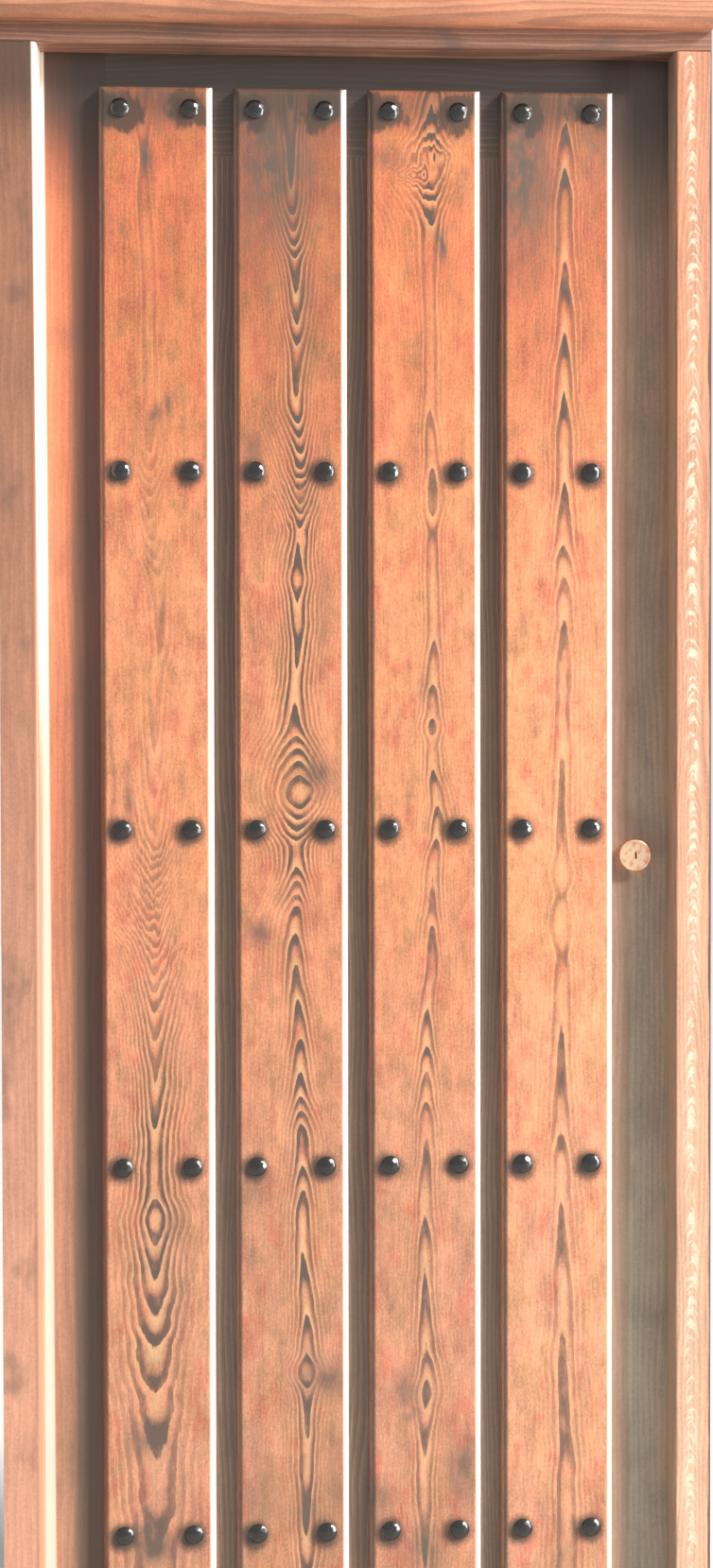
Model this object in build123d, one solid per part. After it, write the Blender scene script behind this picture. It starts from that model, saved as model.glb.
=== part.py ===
from build123d import *
import math
import os

# A studded plank door hung in its rebated pine frame. All lengths are millimetres.
# X runs to the right as seen from outside, Y runs inwards and Z runs up. The origin is on the floor,
# midway between the jambs and halfway through the whole depth. The leaf is flush with the frame's
# inside face, opens inwards on three butt hinges at the left and is locked by a rim bolt lock.

# Frame
opening_width = 800.0
opening_height = 2030.0
jamb_face = 48.0
head_face = 60.0
reveal_depth = 35.0
rebate_lap = 15.5
jamb_arris = 6.0
head_arris = 3.0
frame_tenon_width = 16.0
frame_tenon_thickness = 30.0
frame_tenon_length = 45.0
frame_mortise_play = 1.0
head_screw_inset = 12.0
head_screw_length = 100.0
fixing_hole_radius = 4.0
fixing_bottom_inset = 145.0
fixing_top_inset = 125.0
fixing_step = 500.0

# Drip moulding on the head
drip_proud = 22.0
drip_height = 34.0
drip_round = 19.0
drip_arris = 4.0
drip_tongue_height = 8.0
drip_tongue_depth = 6.0

# Leaf
leaf_thickness = 40.0
stop_gap = 1.0
edge_gap = 3.0
floor_gap = 8.0
stile_width = 95.0
top_rail_height = 140.0
rail_tenon_thickness = 14.0
rail_tenon_height = 60.0
rail_tenon_length = 60.0

# Lining boards, tongued into each other, the stiles and the top rail
lining_thickness = 18.0
lining_count = 5
tongue_thickness = 6.0
tongue_depth = 8.0
groove_depth = 9.0

# Ledges behind the lining
upper_ledge_drop = 401.5
middle_ledge_rise = 35.5
lower_ledge_height = 619.0
ledge_width = 120.0
bottom_ledge_width = 200.0
ledge_chamfer = 6.0
ledge_tenon_thickness = 10.0
ledge_tenon_rise = 8.0
ledge_tenon_height = 44.0
ledge_tenon_length = 45.0

# Face boards
board_count = 4
board_side_margin = 86.75
board_thickness = 18.0
channel_width = 26.5
board_top_margin = 45.5
board_bottom_margin = 44.0
board_arris = 8.5

# Studs
stud_head_radius = 12.0
stud_head_height = 7.0
stud_rim = 1.2
stud_shank = 5.0
stud_edge_inset = 27.5
stud_top_inset = 28.5
stud_bottom_inset = 98.0
clench_length = 17.0
clench_thickness = 2.5
clench_slope = 0.8

# Butt hinges
hinge_bottom_inset = 230.0
hinge_top_inset = 230.5
hinge_length = 100.0
hinge_plate_width = 32.0
hinge_plate_thickness = 2.5
knuckle_radius = 6.0
knuckle_count = 5
knuckle_gap = 0.2
knuckle_clearance = 0.3
hinge_pin_radius = 3.0
hinge_pin_play = 0.05
pin_head_radius = 5.0
pin_head_height = 4.0
hinge_screw_spread = 76.0
hinge_screw_stagger = 6.0

# Screws
screw_shank_radius = 2.0
screw_head_radius = 3.8
screw_head_depth = 2.0
screw_play = 0.1
hinge_screw_length = 25.0

# Cylinder of the lock
backset = 56.0
lock_height = 1012.5
ring_radius = 20.5
ring_thickness = 13.0
ring_arris = 2.4
cylinder_head_radius = 16.5
cylinder_head_depth = 3.0
cylinder_head_recess = 0.6
cylinder_radius = 14.5
cylinder_hole_radius = 16.0
cylinder_rear_gap = 4.0
plug_radius = 6.5
plug_play = 0.05
plug_lip_radius = 7.5
plug_lip_depth = 1.2
plug_rear_cover = 6.0
keyway_width = 2.2
keyway_height = 9.0
keyway_depth = 24.0
tail_width = 6.0
tail_thickness = 1.8
tail_seat = 4.0
tail_hole_play = 1.0
tail_end_gap = 0.5
connecting_screw_radius = 2.5
connecting_screw_offset = 10.5
connecting_screw_grip = 12.0
connecting_head_radius = 3.5
connecting_head_depth = 1.2

# Lock case on the inside face
case_width = 88.0
case_depth = 22.0
case_above = 45.0
case_below = 34.0
case_wall = 2.0
case_arris = 3.0
case_screw_inset = 6.5
case_screw_grip = 22.0
back_plate_thickness = 2.0
back_plate_gap = 0.3
cylinder_window_radius = 6.0

# Dead bolt, follower and thumb turn
bolt_throw = 20.0
bolt_height = 24.0
bolt_thickness = 12.0
bolt_head_length = 26.0
bolt_rise = 9.0
bolt_play = 0.3
bolt_chamfer = 1.0
bolt_tail_thickness = 4.0
bolt_tail_length = 52.0
lever_tip_radius = 3.5
lever_play = 0.6
lever_thickness = 3.4
lever_width = 3.8
lever_lean = 45.0
hub_radius = 8.0
hub_depth = 11.7
spindle_width = 6.0
spindle_seat = 5.0
tail_slot_depth = 5.0
tail_slot_end_play = 0.4
tail_slot_side_play = 0.15
guide_post_radius = 3.0
guide_post_head_radius = 4.6
guide_post_head_depth = 1.5
guide_post_rise = 18.0
guide_post_margin = 4.0
turn_boss_radius = 6.0
turn_boss_play = 0.08
turn_collar_radius = 10.0
turn_collar_depth = 3.0
turn_reach = 22.0
grip_length = 32.0
grip_width = 11.0
grip_rise = 8.0
grip_roundness = 0.62

# Keeper on the right jamb
keeper_gap = 5.5
keeper_length = 26.0
keeper_wall = 2.5
keeper_play = 2.0
keeper_depth = 20.0
keeper_lug = 15.0

# Places worked out from the sizes above
half_opening = opening_width / 2
half_frame = half_opening + jamb_face
frame_depth = reveal_depth + stop_gap + leaf_thickness
whole_depth = drip_proud + frame_depth + case_depth + turn_reach
frame_front = drip_proud - whole_depth / 2
stop_back = frame_front + reveal_depth
frame_back = frame_front + frame_depth
frame_top = opening_height + head_face
rebate_x = half_opening + rebate_lap
rebate_z = opening_height + rebate_lap
leaf_front = stop_back + stop_gap
leaf_back = leaf_front + leaf_thickness
leaf_edge = rebate_x - edge_gap
leaf_top = rebate_z - edge_gap
leaf_bottom = floor_gap
stile_inner = leaf_edge - stile_width
rail_bottom = leaf_top - top_rail_height
lining_back = leaf_front + lining_thickness
lining_width = 2 * stile_inner / lining_count
tongue_y = (leaf_front + (lining_thickness - tongue_thickness) / 2,
            leaf_front + (lining_thickness + tongue_thickness) / 2)
board_front = leaf_front - board_thickness
board_top = opening_height - board_top_margin
board_bottom = leaf_bottom + board_bottom_margin
board_width = (2 * (leaf_edge - board_side_margin) - (board_count - 1) * channel_width) / board_count
board_pitch = board_width + channel_width
board_centres = [(i - (board_count - 1) / 2) * board_pitch for i in range(board_count)]
stud_spread = board_width / 2 - stud_edge_inset
stud_columns = [x + side * stud_spread for x in board_centres for side in (-1, 1)]
ledge_heights = {"ledge_upper": rail_bottom - upper_ledge_drop,
                 "ledge_middle": lock_height + middle_ledge_rise,
                 "ledge_lower": lower_ledge_height}
stud_rows = [board_top - stud_top_inset, *ledge_heights.values(), board_bottom + stud_bottom_inset]
low_hinge = leaf_bottom + hinge_bottom_inset
top_hinge = leaf_top - hinge_top_inset
hinge_heights = (low_hinge, (low_hinge + top_hinge) / 2, top_hinge)
low_fixing = fixing_bottom_inset
top_fixing = opening_height - fixing_top_inset
fixing_heights = (low_fixing, low_fixing + fixing_step, top_fixing - fixing_step, top_fixing)
hinge_x = -(rebate_x + leaf_edge) / 2
hinge_y = leaf_back + knuckle_clearance + knuckle_radius
lock_x = leaf_edge - backset
case_x = (leaf_edge - case_width, leaf_edge)
case_z = (lock_height - case_below, lock_height + case_above)
case_face = leaf_back + case_depth
bolt_z = (lock_height + bolt_rise, lock_height + bolt_rise + bolt_height)
bolt_y = leaf_back + back_plate_thickness + back_plate_gap
lever_radius = bolt_throw / (2 * math.sin(math.radians(lever_lean)))
guide_post_x = leaf_edge - bolt_head_length - guide_post_radius - 2 * bolt_play - guide_post_margin
guide_post_z = lock_height + bolt_rise + guide_post_rise
keeper_x = (leaf_edge + keeper_gap, leaf_edge + keeper_gap + keeper_length)
keeper_z = (bolt_z[0] - keeper_play - keeper_wall, bolt_z[1] + keeper_play + keeper_wall)
case_screws = [(x, z) for x in (case_x[0] + case_screw_inset, case_x[1] - case_screw_inset)
               for z in (case_z[0] + case_screw_inset, case_z[1] - case_screw_inset)]


def block(x, y, z):
    """A box between two limits along each axis."""
    middle = [(low + high) / 2 for low, high in (x, y, z)]
    sides = [high - low for low, high in (x, y, z)]
    return Pos(*middle) * Box(*sides)


def rod(start, end, radius):
    """A round bar from one point to another."""
    way = Vector(*end) - Vector(*start)
    return extrude(Plane(origin=start, z_dir=way) * Circle(radius), way.length)


def turned(points, start, way):
    """A solid turned from (radius, distance) points about the line from start along way."""
    outline = make_face(Polyline(*points, close=True))
    upright = revolve(Plane.XZ * outline, Axis.Z)
    return Plane(origin=start, z_dir=way).location * upright


def screw(start, way, length, play=0.0):
    """A countersunk wood screw whose head lies flush at start; play makes its hole instead."""
    head = screw_head_radius + play
    shank = screw_shank_radius + play
    return turned([(0, 0), (head, 0), (shank, screw_head_depth), (shank, length), (0, length)], start, way)


def mirrored(solid, side):
    """The solid as made for the right side, or its mirror image for the left."""
    return solid if side > 0 else mirror(solid, about=Plane.YZ)


def frame_tenon(play=0.0):
    """The tenon on top of the right jamb."""
    x = (half_opening + half_frame) / 2 + rebate_lap / 2
    y = frame_front + frame_depth / 2
    half_x = frame_tenon_width / 2
    half_y = frame_tenon_thickness / 2
    z = (opening_height - 1.0, opening_height + frame_tenon_length + play)
    return block((x - half_x, x + half_x), (y - half_y, y + half_y), z)


def head_screw_places():
    """Start points of the four screws through the head into the jambs."""
    x = (rebate_x + half_frame) / 2
    ys = (frame_front + head_screw_inset, frame_back - head_screw_inset)
    return [(side * x, y, frame_top) for side in (-1, 1) for y in ys]


def jamb(side):
    """A rebated jamb with its tenon, round arris, fixing holes and the head's screw holes."""
    stop = block((half_opening, half_frame), (frame_front, stop_back), (0, opening_height))
    edge = stop.edges().filter_by(Axis.Z).sort_by(Axis.Y)[:2].sort_by(Axis.X)[0]
    stop = fillet(edge, jamb_arris)
    back = block((rebate_x, half_frame), (stop_back, frame_back), (0, rebate_z))
    solid = stop + back + frame_tenon()
    rebate_middle = (stop_back + frame_back) / 2
    for z in fixing_heights:
        start = (rebate_x - 1, rebate_middle, z)
        solid -= rod(start, (half_frame + 1, rebate_middle, z), fixing_hole_radius)
    solid = mirrored(solid, side)
    for start in head_screw_places():
        solid -= screw(start, (0, 0, -1), head_screw_length, screw_play)
    return solid


def left_jamb():
    """The hinge jamb, with a shallow recess and screw holes for each hinge."""
    solid = jamb(-1)
    x = (-rebate_x - hinge_plate_thickness, -rebate_x + 1)
    y = (leaf_back - hinge_plate_width, frame_back + 1)
    for z in hinge_heights:
        solid -= block(x, y, (z - hinge_length / 2, z + hinge_length / 2))
    for start in hinge_screw_places(-rebate_x):
        solid -= screw(start, (-1, 0, 0), hinge_screw_length, screw_play)
    return solid


def right_jamb():
    """The lock jamb, with the holes of the keeper's screws."""
    solid = jamb(1)
    for start in keeper_screw_places():
        solid -= screw(start, (0, -1, 0), hinge_screw_length, screw_play)
    return solid


def head_jamb():
    """The head: rebated like the jambs, mortised for them and grooved for the drip moulding."""
    front = block((-half_frame, half_frame), (frame_front, stop_back), (opening_height, frame_top))
    edge = front.edges().filter_by(Axis.X).sort_by(Axis.Z)[:2].sort_by(Axis.Y)[0]
    front = fillet(edge, head_arris)
    back = block((-half_frame, half_frame), (stop_back, frame_back), (rebate_z, frame_top))
    solid = front + back
    for side in (-1, 1):
        solid -= mirrored(frame_tenon(frame_mortise_play), side)
    solid -= drip_tongue()
    for start in head_screw_places():
        solid -= screw(start, (0, 0, -1), head_screw_length, screw_play)
    return solid


def drip_tongue():
    """The tongue that seats the drip moulding in the head."""
    z = frame_top - drip_height / 2
    half = drip_tongue_height / 2
    y = (frame_front - 1.0, frame_front + drip_tongue_depth)
    return block((-half_frame, half_frame), y, (z - half, z + half))


def head_drip():
    """The moulding: square above, with a large round under its front edge."""
    y = (frame_front - drip_proud, frame_front)
    body = block((-half_frame, half_frame), y, (frame_top - drip_height, frame_top))
    front_edges = body.edges().filter_by(Axis.X).sort_by(Axis.Y)[:2].sort_by(Axis.Z)
    body = fillet(front_edges[0], drip_round)
    top_edge = body.edges().filter_by(Axis.X).sort_by(Axis.Z)[-2:].sort_by(Axis.Y)[0]
    body = fillet(top_edge, drip_arris)
    return body + drip_tongue()


def head_screws():
    """Four screws that hold the head down on the jambs."""
    return [screw(start, (0, 0, -1), head_screw_length) for start in head_screw_places()]


def stile():
    """The right stile without its hardware: grooved for the lining and mortised for the rail and ledges."""
    solid = block((stile_inner, leaf_edge), (leaf_front, leaf_back), (leaf_bottom, leaf_top))
    groove_x = (stile_inner - 1, stile_inner + groove_depth)
    solid -= block(groove_x, tongue_y, (leaf_bottom, rail_bottom + groove_depth))
    solid -= rail_tenon()
    for low, high in ledge_limits().values():
        solid -= ledge_tenon(low, high)
    return solid


def hinge_stile():
    """The left stile, with a recess and screw holes for each hinge."""
    solid = mirrored(stile(), -1)
    x = (-leaf_edge - 1, -leaf_edge + hinge_plate_thickness)
    y = (leaf_back - hinge_plate_width, leaf_back + 1)
    for z in hinge_heights:
        solid -= block(x, y, (z - hinge_length / 2, z + hinge_length / 2))
    for start in hinge_screw_places(-leaf_edge):
        solid -= screw(start, (1, 0, 0), hinge_screw_length, screw_play)
    return solid


def lock_stile():
    """The right stile, bored for the cylinder and drilled for the screws of the lock case."""
    solid = stile()
    start = (lock_x, leaf_front - 1, lock_height)
    solid -= rod(start, (lock_x, leaf_back + 1, lock_height), cylinder_hole_radius)
    for x, z in case_screws:
        end = leaf_back - case_screw_grip
        solid -= rod((x, leaf_back + 1, z), (x, end, z), screw_shank_radius + screw_play)
    return solid


def rail_tenon():
    """The top rail's right tenon."""
    middle = (leaf_front + leaf_back) / 2
    half = rail_tenon_thickness / 2
    low = rail_bottom + (top_rail_height - rail_tenon_height) / 2
    x = (stile_inner - 1, stile_inner + rail_tenon_length)
    return block(x, (middle - half, middle + half), (low, low + rail_tenon_height))


def top_rail():
    """The top rail, grooved below for the lining's top tongues and pierced for the studs' shanks."""
    solid = block((-stile_inner, stile_inner), (leaf_front, leaf_back), (rail_bottom, leaf_top))
    solid += rail_tenon() + mirrored(rail_tenon(), -1)
    solid -= block((-stile_inner, stile_inner), tongue_y, (rail_bottom - 1, rail_bottom + groove_depth))
    return solid - shanks(stud_rows[0])


def ledge_limits():
    """Lowest and highest Z of each ledge."""
    limits = {name: (z - ledge_width / 2, z + ledge_width / 2) for name, z in ledge_heights.items()}
    limits["ledge_bottom"] = (leaf_bottom, leaf_bottom + bottom_ledge_width)
    return limits


def ledge_tenon(low, high):
    """A ledge's right tenon. It lies in the ledge's upper half, clear of the lock cylinder's hole."""
    middle = (lining_back + leaf_back) / 2
    half = ledge_tenon_thickness / 2
    start = (low + high) / 2 + ledge_tenon_rise
    x = (stile_inner - 1, stile_inner + ledge_tenon_length)
    return block(x, (middle - half, middle + half), (start, start + ledge_tenon_height))


def ledge(name):
    """A ledge behind the lining, chamfered along its inside edges and tenoned into both stiles."""
    low, high = ledge_limits()[name]
    solid = block((-stile_inner, stile_inner), (lining_back, leaf_back), (low, high))
    edges = solid.edges().filter_by(Axis.X).sort_by(Axis.Y)[-2:]
    edges = edges if name != "ledge_bottom" else edges.sort_by(Axis.Z)[-1:]
    solid = chamfer(edges, ledge_chamfer)
    solid += ledge_tenon(low, high) + mirrored(ledge_tenon(low, high), -1)
    row = stud_rows[list(ledge_limits()).index(name) + 1]
    return solid - shanks(row)


def lining_board(i):
    """One lining board: tongued on the right and at the top, grooved on the left after the first."""
    left = -stile_inner + i * lining_width
    right = left + lining_width
    tall = (leaf_bottom, rail_bottom)
    solid = block((left, right), (leaf_front, lining_back), tall)
    solid += block((right - 1, right + tongue_depth), tongue_y, tall)
    solid += block((left, right), tongue_y, (rail_bottom - 1, rail_bottom + tongue_depth))
    if i == 0:
        solid += block((left - tongue_depth, left + 1), tongue_y, tall)
    else:
        z = (leaf_bottom - 1, rail_bottom + tongue_depth + 1)
        solid -= block((left - 1, left + groove_depth), tongue_y, z)
    for z in stud_rows[1:]:
        solid -= shanks(z, left - stud_shank, right + tongue_depth + stud_shank)
    return solid


def face_board(i):
    """One face board with rounded front arrises and the studs' square holes."""
    x = board_centres[i]
    half = board_width / 2
    solid = block((x - half, x + half), (board_front, leaf_front), (board_bottom, board_top))
    solid = fillet(solid.faces().sort_by(Axis.Y)[0].edges(), min(board_arris, board_thickness - 1))
    for z in stud_rows:
        solid -= shanks(z, x - half, x + half)
    return solid


def shanks(z, low=-leaf_edge, high=leaf_edge):
    """The square shanks of one row of studs between two limits along X."""
    half = stud_shank / 2
    y = (board_front - 1, leaf_back + 1)
    return [block((x - half, x + half), y, (z - half, z + half)) for x in stud_columns if low < x < high]


def stud(x, z):
    """A domed stud: its square shank goes through the door, and its tip is clenched down on the inside."""
    half = stud_shank / 2
    rise = stud_head_height - stud_rim
    ball = (stud_head_radius ** 2 + rise ** 2) / (2 * rise)
    middle_turn = math.asin(stud_head_radius / ball) / 2
    middle = (ball * math.sin(middle_turn), stud_head_height - ball * (1 - math.cos(middle_turn)))
    rim = Polyline((0, stud_head_height), (0, 0), (stud_head_radius, 0), (stud_head_radius, stud_rim))
    dome = ThreePointArc((stud_head_radius, stud_rim), middle, (0, stud_head_height))
    head = revolve(Plane.XZ * make_face(rim + dome), Axis.Z)
    head = Plane(origin=(x, board_front, z), z_dir=(0, -1, 0)).location * head
    shank = block((x - half, x + half), (board_front - 0.5, leaf_back), (z - half, z + half))
    tip_y = (leaf_back, leaf_back + clench_thickness)
    tip = block((x - half, x + half), tip_y, (z - clench_length, z + half))
    low_edge = tip.edges().filter_by(Axis.X).sort_by(Axis.Z)[:2].sort_by(Axis.Y)[-1]
    tip = chamfer(low_edge, clench_slope * clench_thickness)
    return head + shank + tip


def hinge_screw_places(x):
    """Start points of the hinge screws in the plane at x, four to each hinge, staggered."""
    middle = leaf_back - hinge_plate_width / 2
    steps = (-1.0, -1 / 3, 1 / 3, 1.0)
    places = []
    for height in hinge_heights:
        for k, step in enumerate(steps):
            y = middle + (hinge_screw_stagger if k in (1, 2) else -hinge_screw_stagger)
            places.append((x, y, height + step * hinge_screw_spread / 2))
    return places


def hinge_screws(x, side):
    """All the hinge screws that go from the plane at x into the wood on one side."""
    return [screw(start, (side, 0, 0), hinge_screw_length) for start in hinge_screw_places(x)]


def hinge_plate(z, side):
    """A hinge's plate and knuckles: side -1 is the frame's and 1 the leaf's."""
    low = z - hinge_length / 2
    step = hinge_length / knuckle_count
    near = -rebate_x if side < 0 else -leaf_edge
    x = sorted((near, near + side * hinge_plate_thickness))
    solid = block(x, (leaf_back - hinge_plate_width, leaf_back), (low, low + hinge_length))
    for k in range(0 if side < 0 else 1, knuckle_count, 2):
        ends = (low + k * step + knuckle_gap / 2, low + (k + 1) * step - knuckle_gap / 2)
        solid += rod((hinge_x, hinge_y, ends[0]), (hinge_x, hinge_y, ends[1]), knuckle_radius)
        solid += block(x, (leaf_back - 1, hinge_y - knuckle_radius / 2), ends)
    bore = hinge_pin_radius + hinge_pin_play
    solid -= rod((hinge_x, hinge_y, low - 1), (hinge_x, hinge_y, low + hinge_length + 1), bore)
    for start in hinge_screw_places(near):
        if abs(start[2] - z) < hinge_length / 2:
            solid -= screw(start, (side, 0, 0), hinge_screw_length, screw_play)
    return solid


def hinge_pin(z):
    """A hinge pin with a round head that rests on the top knuckle."""
    low = z - hinge_length / 2
    top = z + hinge_length / 2
    solid = rod((hinge_x, hinge_y, low), (hinge_x, hinge_y, top), hinge_pin_radius)
    seat = (hinge_x, hinge_y, top - knuckle_gap / 2)
    head = rod(seat, (hinge_x, hinge_y, top + pin_head_height), pin_head_radius)
    return solid + chamfer(head.edges().sort_by(Axis.Z)[-1], pin_head_height / 2)


def cylinder_ring():
    """The ring round the cylinder's head, with a round front edge and a seat for the head."""
    front = leaf_front - ring_thickness
    solid = rod((lock_x, leaf_front, lock_height), (lock_x, front, lock_height), ring_radius)
    solid = fillet(solid.edges().filter_by(GeomType.CIRCLE).sort_by(Axis.Y)[0], ring_arris)
    seat = front + cylinder_head_recess + cylinder_head_depth
    start = (lock_x, front - 1, lock_height)
    solid -= rod(start, (lock_x, seat, lock_height), cylinder_head_radius + screw_play)
    return solid - rod(start, (lock_x, leaf_front + 1, lock_height), cylinder_radius + screw_play)


def cylinder_front():
    """Y of the cylinder head's front face."""
    return leaf_front - ring_thickness + cylinder_head_recess


def cylinder_rear():
    """Y of the cylinder body's rear end."""
    return leaf_back - cylinder_rear_gap


def cylinder_body():
    """The cylinder: a head on a long body, bored for the plug, the tail bar and the connecting screws."""
    front = cylinder_front()
    rear = cylinder_rear()
    start = (lock_x, front, lock_height)
    solid = rod(start, (lock_x, front + cylinder_head_depth, lock_height), cylinder_head_radius)
    solid += rod(start, (lock_x, rear, lock_height), cylinder_radius)
    bore_end = rear - plug_rear_cover
    solid -= rod((lock_x, front - 1, lock_height), (lock_x, bore_end, lock_height), plug_radius + plug_play)
    lip = front + plug_lip_depth + plug_play
    solid -= rod((lock_x, front - 1, lock_height), (lock_x, lip, lock_height), plug_lip_radius + plug_play)
    solid -= rod(start, (lock_x, rear + 1, lock_height), tail_width / 2 + tail_hole_play)
    for x in (lock_x - connecting_screw_offset, lock_x + connecting_screw_offset):
        grip = rear - connecting_screw_grip
        solid -= rod((x, grip, lock_height), (x, rear + 1, lock_height), connecting_screw_radius)
    return solid


def cylinder_screws():
    """The two screws that draw the cylinder against the back plate."""
    top = leaf_back + back_plate_thickness
    solids = []
    for x in (lock_x - connecting_screw_offset, lock_x + connecting_screw_offset):
        head = top - connecting_head_depth
        solid = rod((x, cylinder_rear() - connecting_screw_grip + 1, lock_height), (x, head, lock_height),
                    connecting_screw_radius)
        solids.append(solid + rod((x, head, lock_height), (x, top, lock_height), connecting_head_radius))
    return solids


def key_plug():
    """The plug that the key turns: a lip in front, an upright keyway and a slot for the tail bar behind."""
    front = cylinder_front()
    end = cylinder_rear() - plug_rear_cover
    solid = rod((lock_x, front, lock_height), (lock_x, end, lock_height), plug_radius)
    lip = (lock_x, front + plug_lip_depth, lock_height)
    solid += rod((lock_x, front, lock_height), lip, plug_lip_radius)
    half_x = keyway_width / 2
    half_z = keyway_height / 2
    solid -= block((lock_x - half_x, lock_x + half_x), (front - 1, front + keyway_depth),
                   (lock_height - half_z, lock_height + half_z))
    return solid - tailbar()


def tailbar():
    """The flat bar that carries the plug's turn through the door to the follower."""
    start = cylinder_rear() - plug_rear_cover - tail_seat
    end = bolt_y + tail_slot_depth - tail_end_gap
    half_x = tail_thickness / 2
    half_z = tail_width / 2
    z = (lock_height - half_z, lock_height + half_z)
    return block((lock_x - half_x, lock_x + half_x), (start, end), z)


def lock_backplate():
    """The plate between the lock case and the stile, with the guide post for the bolt's tail."""
    inset = case_wall + back_plate_gap
    solid = block((case_x[0] + inset, case_x[1] - inset), (leaf_back, leaf_back + back_plate_thickness),
                  (case_z[0] + inset, case_z[1] - inset))
    holes = [(lock_x, lock_height, cylinder_window_radius)]
    holes += [(x, z, screw_shank_radius + screw_play) for x, z in case_screws]
    for x, z, radius in holes:
        solid -= rod((x, leaf_back - 1, z), (x, leaf_back + 5, z), radius)
    for x in (lock_x - connecting_screw_offset, lock_x + connecting_screw_offset):
        hole = (x, leaf_back - 1, lock_height)
        solid -= rod(hole, (x, leaf_back + 5, lock_height), connecting_head_radius + screw_play)
        solid += ring_washer(x)
    neck = bolt_y + bolt_tail_thickness + bolt_play
    foot = (guide_post_x, leaf_back + 1, guide_post_z)
    shoulder = (guide_post_x, neck, guide_post_z)
    top = (guide_post_x, neck + guide_post_head_depth, guide_post_z)
    solid += rod(foot, shoulder, guide_post_radius)
    return solid + rod(shoulder, top, guide_post_head_radius)


def ring_washer(x):
    """The ledge of plate under a connecting screw's head."""
    floor = leaf_back + back_plate_thickness - connecting_head_depth
    outer = rod((x, leaf_back, lock_height), (x, floor, lock_height), connecting_head_radius + screw_play)
    radius = connecting_screw_radius + screw_play
    return outer - rod((x, leaf_back - 1, lock_height), (x, floor + 1, lock_height), radius)


def lock_case():
    """The pressed case: open towards the door, with round edges, the bolt's mouth and the turn's hole."""
    solid = block(case_x, (leaf_back, case_face), case_z)
    solid = fillet(solid.faces().sort_by(Axis.Y)[-1].edges(), min(case_arris, case_depth / 2))
    inner_x = (case_x[0] + case_wall, case_x[1] - case_wall)
    inner_z = (case_z[0] + case_wall, case_z[1] - case_wall)
    solid -= block(inner_x, (leaf_back - 1, case_face - case_wall), inner_z)
    mouth_y = (bolt_y - bolt_play, bolt_y + bolt_thickness + bolt_play)
    mouth_z = (bolt_z[0] - bolt_play, bolt_z[1] + bolt_play)
    solid -= block((case_x[1] - case_wall - 1, case_x[1] + 1), mouth_y, mouth_z)
    hole = turn_boss_radius + turn_boss_play
    start = (lock_x, case_face - case_wall - 1, lock_height)
    solid -= rod(start, (lock_x, case_face + 1, lock_height), hole)
    for x, z in case_screws:
        start = (x, case_face - case_wall - 1, z)
        solid -= rod(start, (x, case_face + 1, z), screw_shank_radius + screw_play)
    return solid


def lock_case_screws():
    """Four long screws with round heads through the case and the back plate into the stile."""
    solids = []
    for x, z in case_screws:
        solid = rod((x, leaf_back - case_screw_grip + 1, z), (x, case_face, z), screw_shank_radius)
        head = rod((x, case_face, z), (x, case_face + screw_head_depth, z), screw_head_radius)
        head = chamfer(head.edges().filter_by(GeomType.CIRCLE).sort_by(Axis.Y)[-1], screw_head_depth / 2)
        solids.append(solid + head)
    return solids


def dead_bolt():
    """The bolt: a thick head and a flat tail with the follower's notch and a slot for the guide post."""
    tail_right = leaf_edge - bolt_head_length
    tail_y = (bolt_y, bolt_y + bolt_tail_thickness)
    tail = block((tail_right - bolt_tail_length, tail_right + 1), tail_y, bolt_z)
    head = block((tail_right, leaf_edge), (bolt_y, bolt_y + bolt_thickness), bolt_z)
    head = chamfer(head.faces().sort_by(Axis.X)[-1].edges(), bolt_chamfer)
    notch_half = lever_tip_radius + lever_play
    notch_x = lock_x - bolt_throw / 2
    notch_top = lock_height + lever_radius + notch_half
    y = (tail_y[0] - 1, tail_y[1] + 1)
    notch = block((notch_x - notch_half, notch_x + notch_half), y, (bolt_z[0] - 1, notch_top))
    slot_radius = guide_post_radius + bolt_play
    slot_ends = (guide_post_x - bolt_throw, guide_post_x)
    slot = block(slot_ends, y, (guide_post_z - slot_radius, guide_post_z + slot_radius))
    for x in slot_ends:
        slot += rod((x, y[0], guide_post_z), (x, y[1], guide_post_z), slot_radius)
    return head + tail - notch - slot


def follower():
    """The follower: a hub with the bolt's lever, a double-wedge slot for the tail bar and a square seat."""
    start = bolt_y
    hub = rod((lock_x, start, lock_height), (lock_x, start + hub_depth, lock_height), hub_radius)
    lean = math.radians(lever_lean)
    tip = (lock_x - lever_radius * math.sin(lean), lock_height + lever_radius * math.cos(lean))
    y = (start + bolt_play, start + bolt_play + lever_thickness)
    lever = rod((tip[0], y[0], tip[1]), (tip[0], y[1], tip[1]), lever_tip_radius)
    arm = Pos(0, 0, lever_radius / 2) * Box(lever_width, lever_thickness, lever_radius)
    arm = Pos(lock_x, (y[0] + y[1]) / 2, lock_height) * Rot(0, -lever_lean, 0) * arm
    solid = hub + lever + arm
    half = spindle_width / 2
    y = (start + hub_depth - spindle_seat, start + hub_depth + 1)
    solid -= block((lock_x - half, lock_x + half), y, (lock_height - half, lock_height + half))
    return solid - tail_slot(start)


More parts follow.
